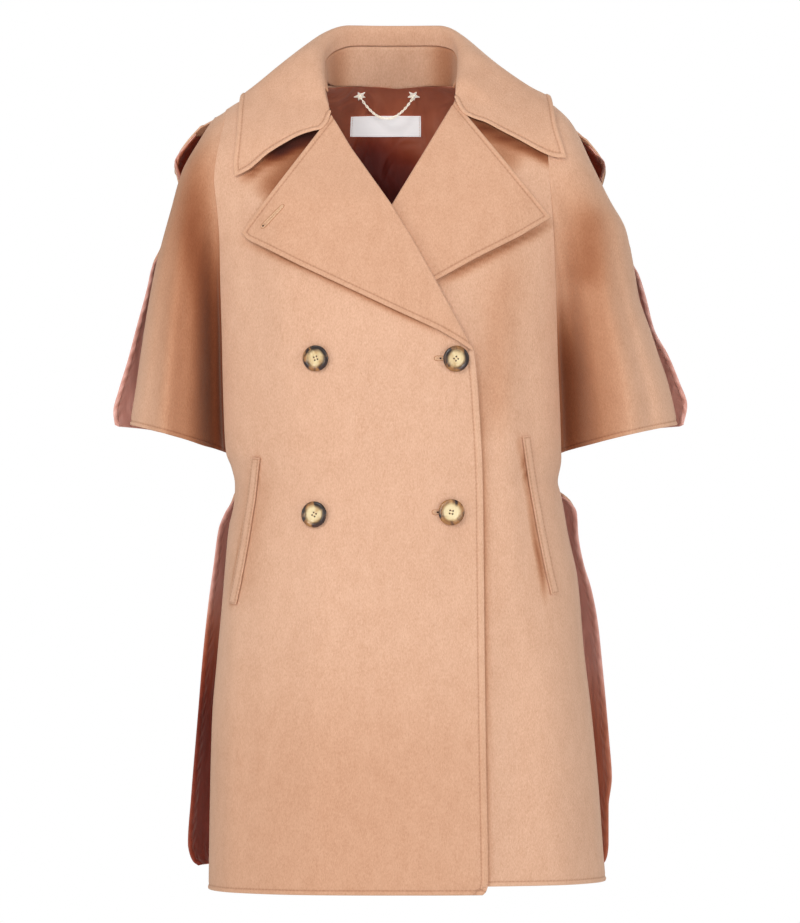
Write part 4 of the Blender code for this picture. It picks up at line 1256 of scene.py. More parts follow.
# Painted shade on the fronts: strokes that darken the colour where the collar, lapels, closing edge
# and welts would cast shadow, and towards the hem
FRONT_SHADES: dict[Side, tuple[Crease, ...]] = {
    RIGHT: (
        # painted shade under the collar from the gorge to its point, along the notch, under the lapel
        Crease(((-40, -22), (-85, -38), (-113, -46), (-150, -70)), 9, 2.6),
        Crease(((-85, -40), (-136, -65), (-160, -84), (-172, -94)), 5, 0.8),
        Crease(((-75, -30), (-115, -74), (-150, -114)), 15, 0.7),
        Crease(((-70, -26), (-120, -92), (-168, -158)), 4, 0.55),
        Crease(((-180, -150), (-145, -163), (-94, -184), (-30, -215), (60, -258)), 4.5, 0.6),
        Crease(((-60, -560), (-60, -800), (-60, -1200)), 220, 0.12),
        Crease(((-147, -376), (-162, -455), (-181, -555)), 2.4, 0.9),
        Crease(((-140, -376), (-155, -455), (-175, -555)), 14, 0.12),
    ),
    LEFT: (
        Crease(((50, -10), (88, -31), (114, -44), (146, -58), (184, -78)), 6, 1.1),
        Crease(((70, -20), (109, -53), (135, -80)), 15, 0.4),
        Crease(((66, -18), (120, -88), (165, -144)), 4, 0.4),
        Crease(((178, -129), (157, -139), (98, -170), (30, -206)), 5, 0.5),
        Crease(((128, -140), (112, -220), (104, -300), (102, -380)), 20, 0.16),
        Crease(((77, -250), (86, -304), (88, -496), (89, -645), (90, -1000)), 6, 0.45),
        Crease(((126, -350), (142, -430), (158, -550)), 2.4, 0.7),
    ),
}
# Painted shade in the hollow of each sleeve beside the body, where shadow would fall
SLEEVE_SHADES: dict[Side, tuple[Crease, ...]] = {
    RIGHT: (
        Crease(((-215, -20), (-219, -148), (-205, -229), (-200, -293), (-197, -378), (-197, -520)),
               15, 0.62),
        Crease(((-184, -110), (-183, -250), (-183, -346), (-183, -520)), 15, 1.15),
        Crease(((-206, 20), (-226, -111), (-227, -218), (-222, -346), (-222, -520)), 34, 0.42),
    ),
    LEFT: (
        Crease(((206, -104), (207, -155), (202, -212)), 18, 0.30),
        Crease(((168, -200), (180, -293), (182, -378), (180, -520)), 17, 1.0),
        Crease(((190, -40), (205, -218), (212, -325), (212, -520)), 32, 0.36),
    ),
}
# Painted shade in the hollow of the neck and down the lining along the side slits
LINING_SHADES: tuple[Crease, ...] = (
    Crease(((-5, 120), (-5, -40), (-5, -260)), 120, 0.5),
    Crease(((-46, -20), (-30, -60), (-14, -110), (-4, -190)), 30, 1.5),
    Crease(((20, -40), (10, -90), (-4, -190)), 16, 0.8),
    Crease(((-202, -520), (-208, -620), (-212, -700), (-218, -1060)), 22, 1.45),
    Crease(((202, -600), (205, -700), (222, -860), (226, -1000)), 24, 0.75),
)
LINING_CREASES: tuple[Crease, ...] = (
    Crease(((-66, -40), (-44, -64), (-24, -82), (8, -100)), 6.0, -4.5),
    Crease(((-14, -50), (-20, -66), (-14, -90), (-2, -120)), 6.0, -4.0),
    Crease(((50, 0), (44, -34), (30, -64), (16, -90)), 7.0, -5.0),
    Crease(((70, -6), (62, -30), (48, -56)), 6.0, -4.0),
)
BACK_CREASES: tuple[Crease, ...] = (
    Crease(((-110, -220), (-116, -480), (-128, -880)), 34, 6.0),
    Crease(((-50, -260), (-52, -520), (-58, -880)), 30, -4.0),
    Crease(((8, -240), (12, -520), (14, -880)), 30, 5.0),
    Crease(((70, -260), (76, -520), (84, -880)), 30, -4.0),
    Crease(((126, -220), (132, -480), (146, -880)), 30, 6.0),
)


def top_rows(step: float) -> Array:
    """Shares of the way from the ridge to the underarm, close together where the shoulder rounds."""
    reach = -UNDERARM
    turns = np.radians(np.arange(0, 84, 7.5))
    even = np.linspace(SHOULDER_ROUND / reach, 1, int((reach - SHOULDER_ROUND) / step) + 1)
    return np.concatenate([(1 - np.cos(turns)) * SHOULDER_ROUND / reach, even])


def lower_rows(hem: float) -> Array:
    """Levels from below the underarm to the hem, close together at the slit's top and the hem."""
    slit = np.arange(UNDERARM - 3 * MM, -470 * MM, -3 * MM)
    share = spread(slit[-1] - hem, 5 * MM, 1.2 * MM, 22 * MM, (False, True))[1:]
    return np.concatenate([slit, slit[-1] + (hem - slit[-1]) * share])


def moved_in(grid: Array, way: Sequence[float], depth: float) -> Array:
    """A grid moved against the given way along its own normals."""
    return grid - facing(grid, way) * depth


def sewn(grid: Array, lines: Sequence[SewnLine]) -> dict[str, Array]:
    """The line and run attributes for the nearest of several sewn lines.

    Args:
        grid: The face.
        lines: The lines on it.

    Returns:
        Both attributes by name.
    """
    line = np.full(grid.shape[:2], NO_LINE)
    run = np.zeros(grid.shape[:2])
    for one in lines:
        away, along = one.on(grid)
        closer = np.abs(away) < np.abs(line)
        line, run = np.where(closer, away, line), np.where(closer, along, run)
    return {"line": np.clip(line, -NO_LINE, NO_LINE), "run": run}


# ---- fronts

@dataclass
class Front:
    """One front from the shoulder seam to the hem; the wearer's right one laps over the left."""

    side: Side
    finishes: Finishes
    step: float = 4.6 * MM
    edge_line: float = 7.6
    hem_line: float = 4.9
    width: float = 290 * MM
    roll_room: float = 3.4 * MM
    roll_levels: tuple[float, float] = (-6 * MM, -266 * MM)
    roll_ease: float = 12 * MM
    open_below: float = -272 * MM
    cut: Cut = Cut(0.335, 0.905)

    def face(self, x: Array, z: Array) -> Array:
        """The outer face with its creases pressed in."""
        return FORM.front_of(self.side)(x, z) + total(FRONT_CREASES[self.side], x, z) * MM

    def grid(self) -> Array:
        """Rows down from the shoulder seam, columns from the inner edge out.

        Returns:
            The outer face.
        """
        share = spread(self.width, self.step, 1.3 * MM, 26 * MM, (True, True))

        def across(z: Array) -> Array:
            inner = smooth_column(FRONT_EDGE[self.side], 1, z)
            below_gorge = smooth_step((self.roll_levels[0] - z) / self.roll_ease)
            above_break = smooth_step((z - self.roll_levels[1]) / self.roll_ease)
            inner = inner + self.side.value * self.roll_room * (below_gorge * above_break)
            return inner + (self.side.value * FORM.seam_across(z, self.side) - inner) * share

        top = solve_top(across, lambda x: FORM.ridge(x, self.side))
        rows = [top + (UNDERARM - top) * s for s in top_rows(5 * MM)]
        rows += [np.full_like(top, z) for z in lower_rows(HEM[self.side])]
        z = np.array(rows)
        x = np.array([across(level) for level in rows])
        return np.stack([x, np.minimum(self.face(x, z), -SEAM_GAP / 2), z], axis=-1)

    def build(self) -> Object:
        """The wall with its closing edge and hem stitched.

        Returns:
            The front.
        """
        outer = self.grid()
        inner_edge = outer[:, 0]
        closing = inner_edge[inner_edge[:, 2] < self.open_below]
        lines = [SewnLine([outer[-1]], self.hem_line)]
        if self.side is RIGHT:
            lines.append(SewnLine([closing], self.edge_line))
        inner = in_front(moved_in(outer, (0, -1, 0), WOOL))
        values = sewn(outer, lines)
        # painted shade strokes on the front
        values["painted_shade"] = total(FRONT_SHADES[self.side], outer[..., 0], outer[..., 2])
        wall = Wall(stitched(outer, (0, -1, 0), values), inner, 0.9 * MM, values)
        name = f"front_{self.side.word}"
        return self.cut.dress(wall, name + "_cloth", name, self.finishes.wool, Slot.WOOL, outer)


# ---- back and its lining

@dataclass
class Lining:
    """A lining just inside a panel, rolled round the panel's slit edges so that only it shows."""

    gap: float = LINING_GAP
    overhang: float = LINING_OVERHANG
    wave: float = 1.6 * MM

    def rolled(self, panel: Array, amount: Array, edges: Sequence[int], thick: float) -> Array:
        """The lining's outer face.

        Args:
            panel: The panel's outer face.
            amount: How far it comes round the slit edge in each row, from 0 to 1.
            edges: Columns along a slit, 0 for the first and -1 for the last.
            thick: The panel's thickness.

        Returns:
            A grid with one more column at each edge.
        """
        outer = behind(moved_in(panel, (0, 1, 0), thick + self.gap))
        outer[-1] += unit(outer[-1] - outer[-2]) * self.overhang
        part = np.asarray(amount, float)[:, None]
        columns = [outer]
        for edge in edges:
            way = unit(outer[:, edge] - outer[:, 1 if edge == 0 else -2])
            out = panel[:, edge] - outer[:, edge]
            folded = []
            for turn in (0.55, 1.0):
                reach = self.overhang * (0.25 + 0.75 * part * math.sin(turn * math.pi / 2) ** 0.5)
                folded.append((outer[:, edge] + way * reach + out * part * turn)[:, None])
            if edge == 0:
                columns = folded[::-1] + columns
            else:
                columns = columns + folded
            outer[:, edge] += way * self.overhang * 0.3 * part
        return np.concatenate(columns, axis=1)

    def puckered(self, face: Array, border: Array, inset: float, depth: float) -> Array:
        """Press slanting tucks into a face beside a border, towards -Y only.

        The depth is a half wave along the border, slanted by the distance from it and uneven by two
        slower waves, and it fades away from the sewn line.

        Args:
            face: The lining's shown face.
            border: Corners of the edge beside it.
            inset: Distance of the sewn line from the edge.
            depth: Depth of the tucks.

        Returns:
            The pressed face.
        """
        away, run = distance_to(face, border)
        slow = 1.6 * np.sin(run / 0.031 + 1.3) + 1.1 * np.sin(run / 0.0127)
        tuck = 0.5 + 0.5 * np.sin(2 * math.pi * (run + away * 0.8) / 0.019 + slow)
        tuck = tuck * (0.25 + 0.75 * np.sin(run / 0.043 + away / 0.02) ** 2)
        near = np.exp(-((away - inset) / (11 * MM)) ** 2)
        broad = 0.5 + 0.5 * np.sin(run / 0.024 + np.sin(run / 0.05) * 2 + away / 0.012)
        inside = smooth_step((away - 3 * MM) / (14 * MM)) * smooth_step((0.07 - away) / 0.03)
        moved = face.copy()
        moved[..., 1] -= tuck * near * depth + broad * inside * self.wave
        return moved


@dataclass
class Back:
    """The back, one panel that is wider and shorter than the fronts, and its satin lining."""

    finishes: Finishes
    step: float = 5.2 * MM
    slit_line: float = 9.5
    tuck: float = 1.5 * MM
    cut: Cut = Cut(0.62, 0.90)
    lining_cut: Cut = Cut(0.63, 0.90)

    def grid(self) -> Array:
        """Rows down from the neck and shoulder seams, columns right to left.

        Returns:
            The outer face.
        """
        half = spread(230 * MM, self.step, 1.4 * MM, 24 * MM, (False, True))

        def edge(z: Array, side: Side) -> Array:
            slit = smooth_column(BACK_EDGE_LEVELS[side], 1, z)
            open_part = z < SIDE_SLIT_TOP - 1 * MM
            return side.value * np.where(open_part, slit, FORM.seam_across(z, side))

        def across(z: Array) -> Array:
            z = np.broadcast_to(z, (2 * len(half) - 1,))
            right = edge(z[:len(half)], RIGHT) * half[::-1]
            return np.concatenate([right, edge(z[len(half):], LEFT) * half[1:]])

        top = solve_top(across, FORM.neckline)
        rows = [top + (UNDERARM - top) * s for s in top_rows(5 * MM)]
        rows += [np.full_like(top, z) for z in lower_rows(BACK_HEM)]
        z = np.array(rows)
        x = np.array([across(level) for level in rows])
        y = FORM.back(x, z) - total(BACK_CREASES, x, z) * MM
        return np.stack([x, np.maximum(y, SEAM_GAP / 2), z], axis=-1)

    def build(self) -> tuple[Object, Object]:
        """The wool and the lining.

        Returns:
            The wool and the lining.
        """
        panel = self.grid()
        inner = behind(moved_in(panel, (0, 1, 0), WOOL))
        hem = sewn(panel, [SewnLine([panel[-1]], 4.9)])
        wall = Wall(stitched(panel, (0, 1, 0), hem), inner, 0.8 * MM, hem)
        cloth = self.cut.dress(wall, "back_cloth", "back", self.finishes.wool, Slot.WOOL, panel)
        amount = smooth_step((SIDE_SLIT_TOP - panel[:, 0, 2]) / (20 * MM))
        outer = Lining().rolled(panel, amount, (0, -1), WOOL)
        shown = behind(moved_in(outer, (0, 1, 0), LINING))
        open_rows = panel[:, 0, 2] < SIDE_SLIT_TOP
        edges = [shown[open_rows][:, 0], shown[open_rows][:, -1]]
        for border in edges:
            shown = Lining().puckered(shown, border, self.slit_line * MM, self.tuck)
        shown[..., 1] += total(LINING_CREASES, shown[..., 0], shown[..., 2]) * MM
        shown[..., 1] = np.minimum(shown[..., 1], outer[..., 1] - 0.2 * MM)
        lines = sewn(shown, [SewnLine(edges, self.slit_line)])
        # painted shade in the neck and along the side slits
        lines["painted_shade"] = total(LINING_SHADES, shown[..., 0], shown[..., 2])
        wall = Wall(shown, outer, 0.3 * MM, lines)
        return cloth, self.lining_cut.dress(wall, "back_satin", "back_lining", self.finishes.lining,
                                            Slot.LINING, outer)


# ---- sleeves

@dataclass
class Sleeve:
    """A cape sleeve: a front and a back half joined over the arm down to a slit, the back lined."""

    side: Side
    finishes: Finishes
    columns: int = 56
    hollows: dict[Side, tuple[float, float, float]] = field(default_factory=lambda: {
        RIGHT: (0.05, 0.30, 27.0), LEFT: (0.05, 0.22, 22.0)})
    tuck: float = 3.0 * MM
    lap: float = 2.0 * MM
    hem_line: float = 4.6
    slit_line: float = 3.4
    lining_line: float = 6.5
    first_row: int = 5
    cut: Cut = Cut(0.175, 0.40)

    def edge(self, z: Array, half: Half) -> tuple[Array, Array]:
        """Where the outer edge lies, and how far along its round it stops."""
        if half is Half.FRONT:
            return smooth_column(SLEEVE_OUTLINE[self.side], 1, z), np.ones_like(z)
        place = 1 - (1 - SLEEVE_SLIT_PLACE) * smooth_step((SLEEVE_SLIT_TOP - z) / SLEEVE_SLIT_EASE)
        return smooth_column(SLEEVE_OUTLINE[self.side], 2, z), place

    def depth(self, x: Array, z: Array, half: Half) -> Array:
        """A half's face without its folds: a quarter round from the seam to the overarm line.

        Args:
            x: Places across.
            z: Levels.
            half: The sleeve's half.

        Returns:
            Depths.
        """
        seam = FORM.seam_across(z, self.side)
        outline, place = self.edge(z, half)
        share = np.clip((np.abs(x) - seam) / np.maximum(outline - seam, 1 * MM), 0, 1) * place
        face = FORM.front if half is Half.FRONT else FORM.back
        growth = smooth_step((FOLD_START - z) / (FOLD_START - FOLD_FULL))
        bulge = SLEEVE_BULGE if half is Half.FRONT else SLEEVE_BACK_BULGE
        at_seam = face(self.side.value * seam, z, SLEEVE_TOP_STEP * share)
        swell = half.value * bulge * growth * np.sin(math.pi * share ** 1.3)
        return at_seam * FORM.section(share) + swell

    def grid(self, half: Half) -> Array:
        """Rows down from the shoulder, columns from the seam out to the arm.

        Args:
            half: The sleeve's half.

        Returns:
            The outer face with its folds.
        """
        q = np.linspace(0, 1, self.columns + 1)
        share = np.sin(q * math.pi / 2)
        top = FORM.seam_top(self.side) - SLEEVE_TOP_STEP * share
        bow = SLEEVE_HEM_BOW if half is Half.FRONT else SLEEVE_BACK_HEM_BOW
        hem = UNDERARM + (SLEEVE_HEM_OUTER - UNDERARM) * share + bow * np.sin(share * math.pi)
        steps = top_rows(5 * MM)
        near_hem = spread(30 * MM, 5 * MM, 1.2 * MM, 20 * MM, (True, False))[::-1]
        near_hem = 1 - near_hem * 30 * MM / -UNDERARM
        steps = np.concatenate([steps[steps < near_hem[0] - 0.004], near_hem])
        z = np.array([top + (hem - top) * s for s in steps])
        seam = FORM.seam_across(z, self.side) + SEAM_GAP
        x = self.side.value * (seam + (self.edge(z, half)[0] - seam) * share)
        y = self.depth(x, z, half)
        growth = smooth_step((FOLD_START - z) / (FOLD_START - FOLD_FULL))
        folds = SLEEVE_FOLDS[self.side] if half is Half.FRONT else SLEEVE_BACK_FOLDS
        for middle, width, deep in folds:
            y = y - half.value * deep * MM * growth * bump(share, middle, width)
        middle, width, deep = self.hollows[self.side]
        part = bump(share, middle, width) * (1 - np.exp(-(share / 0.022) ** 2))
        y = y - half.value * deep * MM * growth * part * (1.0 if half is Half.FRONT else 0.4)
        y = np.minimum(y, -SEAM_GAP / 2) if half is Half.FRONT else np.maximum(y, SEAM_GAP / 2)
        grid = np.stack([x, y, z], axis=-1)
        under = grid[:, :1].copy()
        under[..., 0] -= self.side.value * self.tuck
        under[..., 1] -= half.value * (WOOL + SEAM_GAP)
        sunk = smooth_step((-90 * MM - grid[:, 0, 2]) / (110 * MM))
        grid[:, 0, 1] -= half.value * (WOOL + SEAM_GAP) * sunk
        grid[:, 0, 0] -= self.side.value * self.lap * (1 - sunk)
        grid[:, 0, 1] += half.value * 0.2 * MM * (1 - sunk)
        return np.concatenate([under, grid], axis=1)

    def outside(self, points: Array, seam: Array) -> Array:
        """Keep columns outside the seam that the sleeve shares with the body.

        Args:
            points: A face.
            seam: The seam's place across in each row.

        Returns:
            The face, kept clear of the seam.
        """
        kept = points.copy()
        sign = self.side.value
        share = np.linspace(0, 1.8 * MM, points.shape[1])
        kept[..., 0] = sign * np.maximum(sign * kept[..., 0], sign * seam[:, None] + share)
        return kept

    def build(self) -> list[Object]:
        """Both halves and the back half's lining.

        Returns:
            Front half, back half and lining.
        """
        word, wool, shades = self.side.word, self.finishes.wool, SLEEVE_SHADES[self.side]
        made = []
        for half, keep, rear_share in ((Half.FRONT, in_front, 1.0), (Half.BACK, behind, 0.4)):
            way = (0, half.value, 0)
            grid = self.grid(half)
            seam = grid[:, 0, 0]
            inner = self.outside(keep(moved_in(grid, way, WOOL)), seam)
            borders = [SewnLine([grid[-1]], self.hem_line)]
            if half is Half.FRONT:
                slit = grid[grid[:, -1, 2] < SLEEVE_SLIT_TOP][:, -1]
                borders.append(SewnLine([slit], self.slit_line))
            lines = sewn(grid, borders)
            # painted shade in the hollow beside the body, weaker on the back half
            lines["painted_shade"] = rear_share * total(shades, grid[..., 0], grid[..., 2])
            wall = Wall(stitched(grid, way, lines), inner, 0.8 * MM, lines)
            name = f"sleeve_{half.name.lower()}_{word}"
            made.append(self.cut.dress(wall, name + "_cloth", name, wool, Slot.WOOL, grid))
        amount = smooth_step((SLEEVE_SLIT_TOP - grid[:, -1, 2]) / (25 * MM))
        outer = self.outside(Lining().rolled(grid, amount, (-1,), WOOL), seam)[self.first_row:]
        shown = self.outside(behind(moved_in(outer, (0, 1, 0), LINING)), seam[self.first_row:])
        border = shown[shown[:, -1, 2] < SLEEVE_SLIT_TOP][:, -1]
        shown = Lining().puckered(shown, border, self.lining_line * MM, 0.5 * MM)
        wall = Wall(shown, outer, 0.3 * MM, sewn(shown, [SewnLine([border], self.lining_line)]))
        made.append(self.cut.dress(wall, f"sleeve_satin_{word}", f"sleeve_lining_{word}",
                                   self.finishes.lining, Slot.LINING, outer))
        return made


# ---- storm flap

@dataclass
class StormFlap:
    """The flap over the upper back; its lined ends show behind the shoulders."""

    finishes: Finishes
    step: float = 4.5 * MM
    rows: int = 44
    sewn_half: float = FLAP_SEWN_HALF
    cut: Cut = Cut(0.66, 0.225)

    def steps(self) -> Array:
        """Shares of the way down from the shoulder seams."""
        return spread(180 * MM, 180 * MM / self.rows, 1.3 * MM, 20 * MM, (True, True))

    def grid(self) -> Array:
        """Rows down from the shoulder seams, columns right to left.

        Returns:
            The outer face.
        """
        half = spread(240 * MM, self.step, 1.3 * MM, 30 * MM, (False, True))
        share = np.concatenate([-half[::-1], half[1:]])

        def across(z: Array) -> Array:
            right, left = (smooth_column(FLAP_OUTLINE, column, z) for column in (1, 2))
            return share * by_side(share, right, left)

        top = solve_top(across, FORM.neckline) - 1.5 * MM
        fall = FLAP_MIDDLE_LEVEL - FLAP_TIP_LEVEL
        bottom = FLAP_TIP_LEVEL + fall * np.sqrt(1 - np.abs(share) ** 6)
        steps = self.steps()
        z = np.array([top + (bottom - top) * s for s in steps])
        x = np.array([across(level) for level in z])
        grid = np.stack([x, np.maximum(FORM.flap(x, z), SEAM_GAP / 2), z], axis=-1)
        part = smooth_step((self.sewn_half - np.abs(x)) / (30 * MM))
        part = part * smooth_step(1 - steps / 0.12)[:, None]
        foot = FORM.on_face(FORM.back, x, z, 1, FLAP_WOOL + FLAP_SEWN_GAP)
        return grid + (foot - grid) * part[..., None]

    def build(self) -> tuple[Object, Object]:
        """The wool and the lining, which stands past it as a narrow rim.

        Returns:
            The wool and the lining.
        """
        panel = self.grid()
        inner = behind(moved_in(panel, (0, 1, 0), FLAP_WOOL))
        free = [panel[-1], panel[:, 0], panel[:, -1]]
        values = sewn(panel, [SewnLine(free, 4.8)])
        wall = Wall(stitched(panel, (0, 1, 0), values), inner, 0.7 * MM, values)
        cloth = self.cut.dress(wall, "storm_flap_cloth", "storm_flap", self.finishes.wool,
                               Slot.WOOL, panel)
        satin = behind(moved_in(panel, (0, 1, 0), FLAP_WOOL + 2.5 * LINING_GAP))
        satin = satin[int(np.searchsorted(self.steps(), 0.12)):]
        for edge, beside in ((0, 4), (-1, -5)):
            satin[:, edge] += unit(satin[:, edge] - satin[:, beside]) * FLAP_RIM
        satin[-1] += unit(satin[-1] - satin[-2]) * FLAP_RIM
        shown = behind(moved_in(satin, (0, 1, 0), LINING))
        borders = [shown[-1], shown[:, 0], shown[:, -1]]
        lines = sewn(shown, [SewnLine(borders, 5.0)])
        # painted shadow over the lining inside its rim, as the flap's underside lies in shade
        lines["painted_shade"] = 1.3 * smooth_step((lines["line"] + 3.4) / 5.0)
        wall = Wall(shown, satin, 0.3 * MM, lines)
        return cloth, self.cut.dress(wall, "storm_flap_satin", "storm_flap_lining",
                                     self.finishes.lining, Slot.LINING, satin)


# ---- collar

# Painted shade on the collar stand inside the neck
STAND_SHADES: tuple[Crease, ...] = (
    Crease(((53, 90), (54, 48), (54, 10), (54, -30)), 17, 0.5),
    Crease(((-68, 90), (-68, 38), (-68, -30)), 13, 0.35),
)


@dataclass
class Collar:
    """The collar leaf over its stand: up the inside of the neck, over the roll, down to the edge."""

    finishes: Finishes
    places: int = 190
    falls: int = 34
    line: float = 5.4
    stand_first: float = 0.1
    stand_over: float = 0.07
    end_bows: dict[Side, Rows] = field(default_factory=lambda: {
        RIGHT: ((0, 0), (100, -11), (200, -14.3), (300, -9.9), (400, -4.2), (500, 0.5), (700, 5.2),
                (850, 1), (1000, -1)),
        LEFT: ((0, 0), (100, -10), (200, -15.3), (300, -13.5), (400, -9.4), (500, -7.4), (700, -4),
               (850, -3.9), (1000, -1))})
    over_lapel: float = 2.5 * MM
    cut: Cut = Cut(0.66, 0.17)
    stand_cut: Cut = Cut(0.23, 0.046)

    def round_the_neck(self) -> Array:
        """Shares round the neck, close together at both ends."""
        return spread(520 * MM, 520 * MM / self.places * 1.25, 1.2 * MM, 26 * MM, (True, True))

    def curves(self, at: Array) -> Array:
        """Neck, roll and edge curves and the leaf's shape values at the given shares."""
        rows = np.array([sum(row, ()) for row in COLLAR_SECTIONS], float)
        knots = np.column_stack([np.linspace(0, 1, len(rows)) / MM, rows])
        return np.stack([smooth_column(knots, k + 1, at) for k in range(rows.shape[1])], axis=-1)

    def near_ends(self, at: Array, reach: float) -> Array:
        """1 at the collar's two ends, fading within a share of its length."""
        fade = np.exp(-(at / reach) ** 2)
        return fade + np.exp(-((1 - at) / reach) ** 2)

    def grid(self, at: Array, inside: Array, steps: Array) -> Array:
        """The face as a cubic from roll to edge, below which straight rows run to the neck.

        Args:
            at: Shares round the neck.
            inside: Shares of the way from the roll to the neck.
            steps: Shares along the cubic.

        Returns:
            Rows from the neck to the edge.
        """
        values = self.curves(at)
        neck, roll, edge = values[:, 0:3], values[:, 3:6], values[:, 6:9]
        rise, out, lift = values[:, 9:10], values[:, 10:11], values[:, 11:12]
        up = np.array([0.0, 0.0, 1.0])
        away = edge - roll
        away[:, 2] = 0
        first = roll + up * rise + unit(away) * out
        second = edge - away / 3 + up * lift
        ends = self.near_ends(at, 0.09)[:, None]
        down = (neck - roll) * (1 - ends) - unit(first - roll) * (
            ends * COLLAR_END_STRIP / COLLAR_INNER_STRIP)
        t = steps[:, None, None]
        leaf = (roll * (1 - t) ** 3 + 3 * first * t * (1 - t) ** 2 + 3 * second * t * t * (1 - t)
                + edge * t ** 3)
        grid = np.concatenate([roll + down * inside[:, None, None], leaf])
        along = np.concatenate([np.zeros(len(inside)), steps])
        for side, end in ((RIGHT, at), (LEFT, 1 - at)):
            fade = np.exp(-(end / 0.05) ** 2)
            grid[..., 2] += smooth_column(self.end_bows[side], 1, along)[:, None] * fade
            grid[..., 1] -= self.over_lapel * bump(along, 0.12, 0.14)[:, None] * fade
        return grid

    def garment_front(self, x: Array, z: Array) -> Array:
        """Depth of whatever is outermost in front: the fronts, and the sleeves beyond the seams.

        Args:
            x: Places across.
            z: Levels.

        Returns:
            Depths.
        """
        y = np.where(x < 0, FORM.lapped_front(x, z), FORM.front(x, z))
        for side in (RIGHT, LEFT):
            beyond = x * side.value > FORM.seam_across(z, side)
            y = np.where(beyond, Sleeve(side, self.finishes).depth(x, z, Half.FRONT), y)
        return y

    def held_clear(self, grid: Array, clearance: float) -> Array:
        """Hold the leaf in front of the fronts and behind the flap where it is below the ridge.

        Args:
            grid: The leaf's outer face.
            clearance: Room to what lies under it.

        Returns:
            The moved face.
        """
        x, y, z = grid[..., 0], grid[..., 1], grid[..., 2]
        lower = z - COLLAR_RAISE
        below = FORM.drop(x, lower) > 0
        front = np.minimum(y, self.garment_front(x, lower) - clearance)
        back = np.maximum(y, FORM.flap(x, lower) + clearance)
        moved = np.where(below, np.where(y < 0, front, back), y) - y
        for _ in range(6):
            soft = np.pad(moved, 1, mode="edge")
            soft = (soft[:-2, 1:-1] + soft[2:, 1:-1] + soft[1:-1, :-2] + soft[1:-1, 2:]) / 4
            moved = np.where(np.abs(soft) > np.abs(moved), soft, moved)
        held = grid.copy()
        held[..., 1] = y + moved
        return held

    def build(self) -> tuple[Object, Object]:
        """The leaf with its inner strip, and the stand below the seam inside the neck.

        Returns:
            The leaf and the stand.
        """
        at = self.round_the_neck()
        stand = np.linspace(1.0 + self.stand_over, STAND_SHARES[-1], 15)
        strip = np.linspace(STRIP_SHARES[0], 0.03, 9)
        steps = spread(110 * MM, 110 * MM / self.falls, 1.2 * MM, 20 * MM, (False, True))
        inside = np.concatenate([stand, strip])
        outer = self.grid(at, inside, steps)
        roll = len(inside)
        held = self.held_clear(outer[roll:], COLLAR_CLEARANCE + WOOL)
        outer[:roll] += held[0] - outer[roll]
        outer[roll:] = held
        part = np.minimum(1.6 * self.near_ends(at, 0.05), 1)[:, None]
        inner = moved_in(outer, (0, 0, 1), WOOL) * (1 - part)
        inner += (outer + np.array([0, WOOL, 0])) * part
        rows = slice(len(stand), None)
        leaf, under = outer[rows], inner[rows]
        fall = len(strip)
        borders = [leaf[-1], leaf[fall:, 0], leaf[fall:, -1]]
        values = sewn(leaf, [SewnLine(borders, self.line)])
        # a faint even painted shade over the leaf
        values["painted_shade"] = np.full(leaf.shape[:2], 0.04)
        wall = Wall(stitched(leaf, (0, 0, 1), values), under, 1.0 * MM, values)
        collar = self.cut.dress(wall, "collar_cloth", "collar", self.finishes.wool, Slot.WOOL, leaf)
        middle = np.flatnonzero((at > self.stand_first) & (at < 1 - self.stand_first))
        across = slice(middle[0], middle[-1] + 1)
        through = inner[rows.start, across] - outer[rows.start, across]
        tucked = (outer[rows.start, across] + through * 1.15)[None]
        face = np.concatenate([outer[:rows.start, across], tucked])
        rear = np.concatenate([inner[:rows.start, across], tucked + through * 0.8])
        values = sewn(face, [])
        # painted shade strokes on the stand
        values["painted_shade"] = total(STAND_SHADES, face[..., 0], face[..., 2])
        wall = Wall(face, rear, 0.4 * MM, values)
        return collar, self.stand_cut.dress(wall, "collar_stand_cloth", "collar_stand",
                                            self.finishes.wool, Slot.WOOL, face)


# ---- lapels

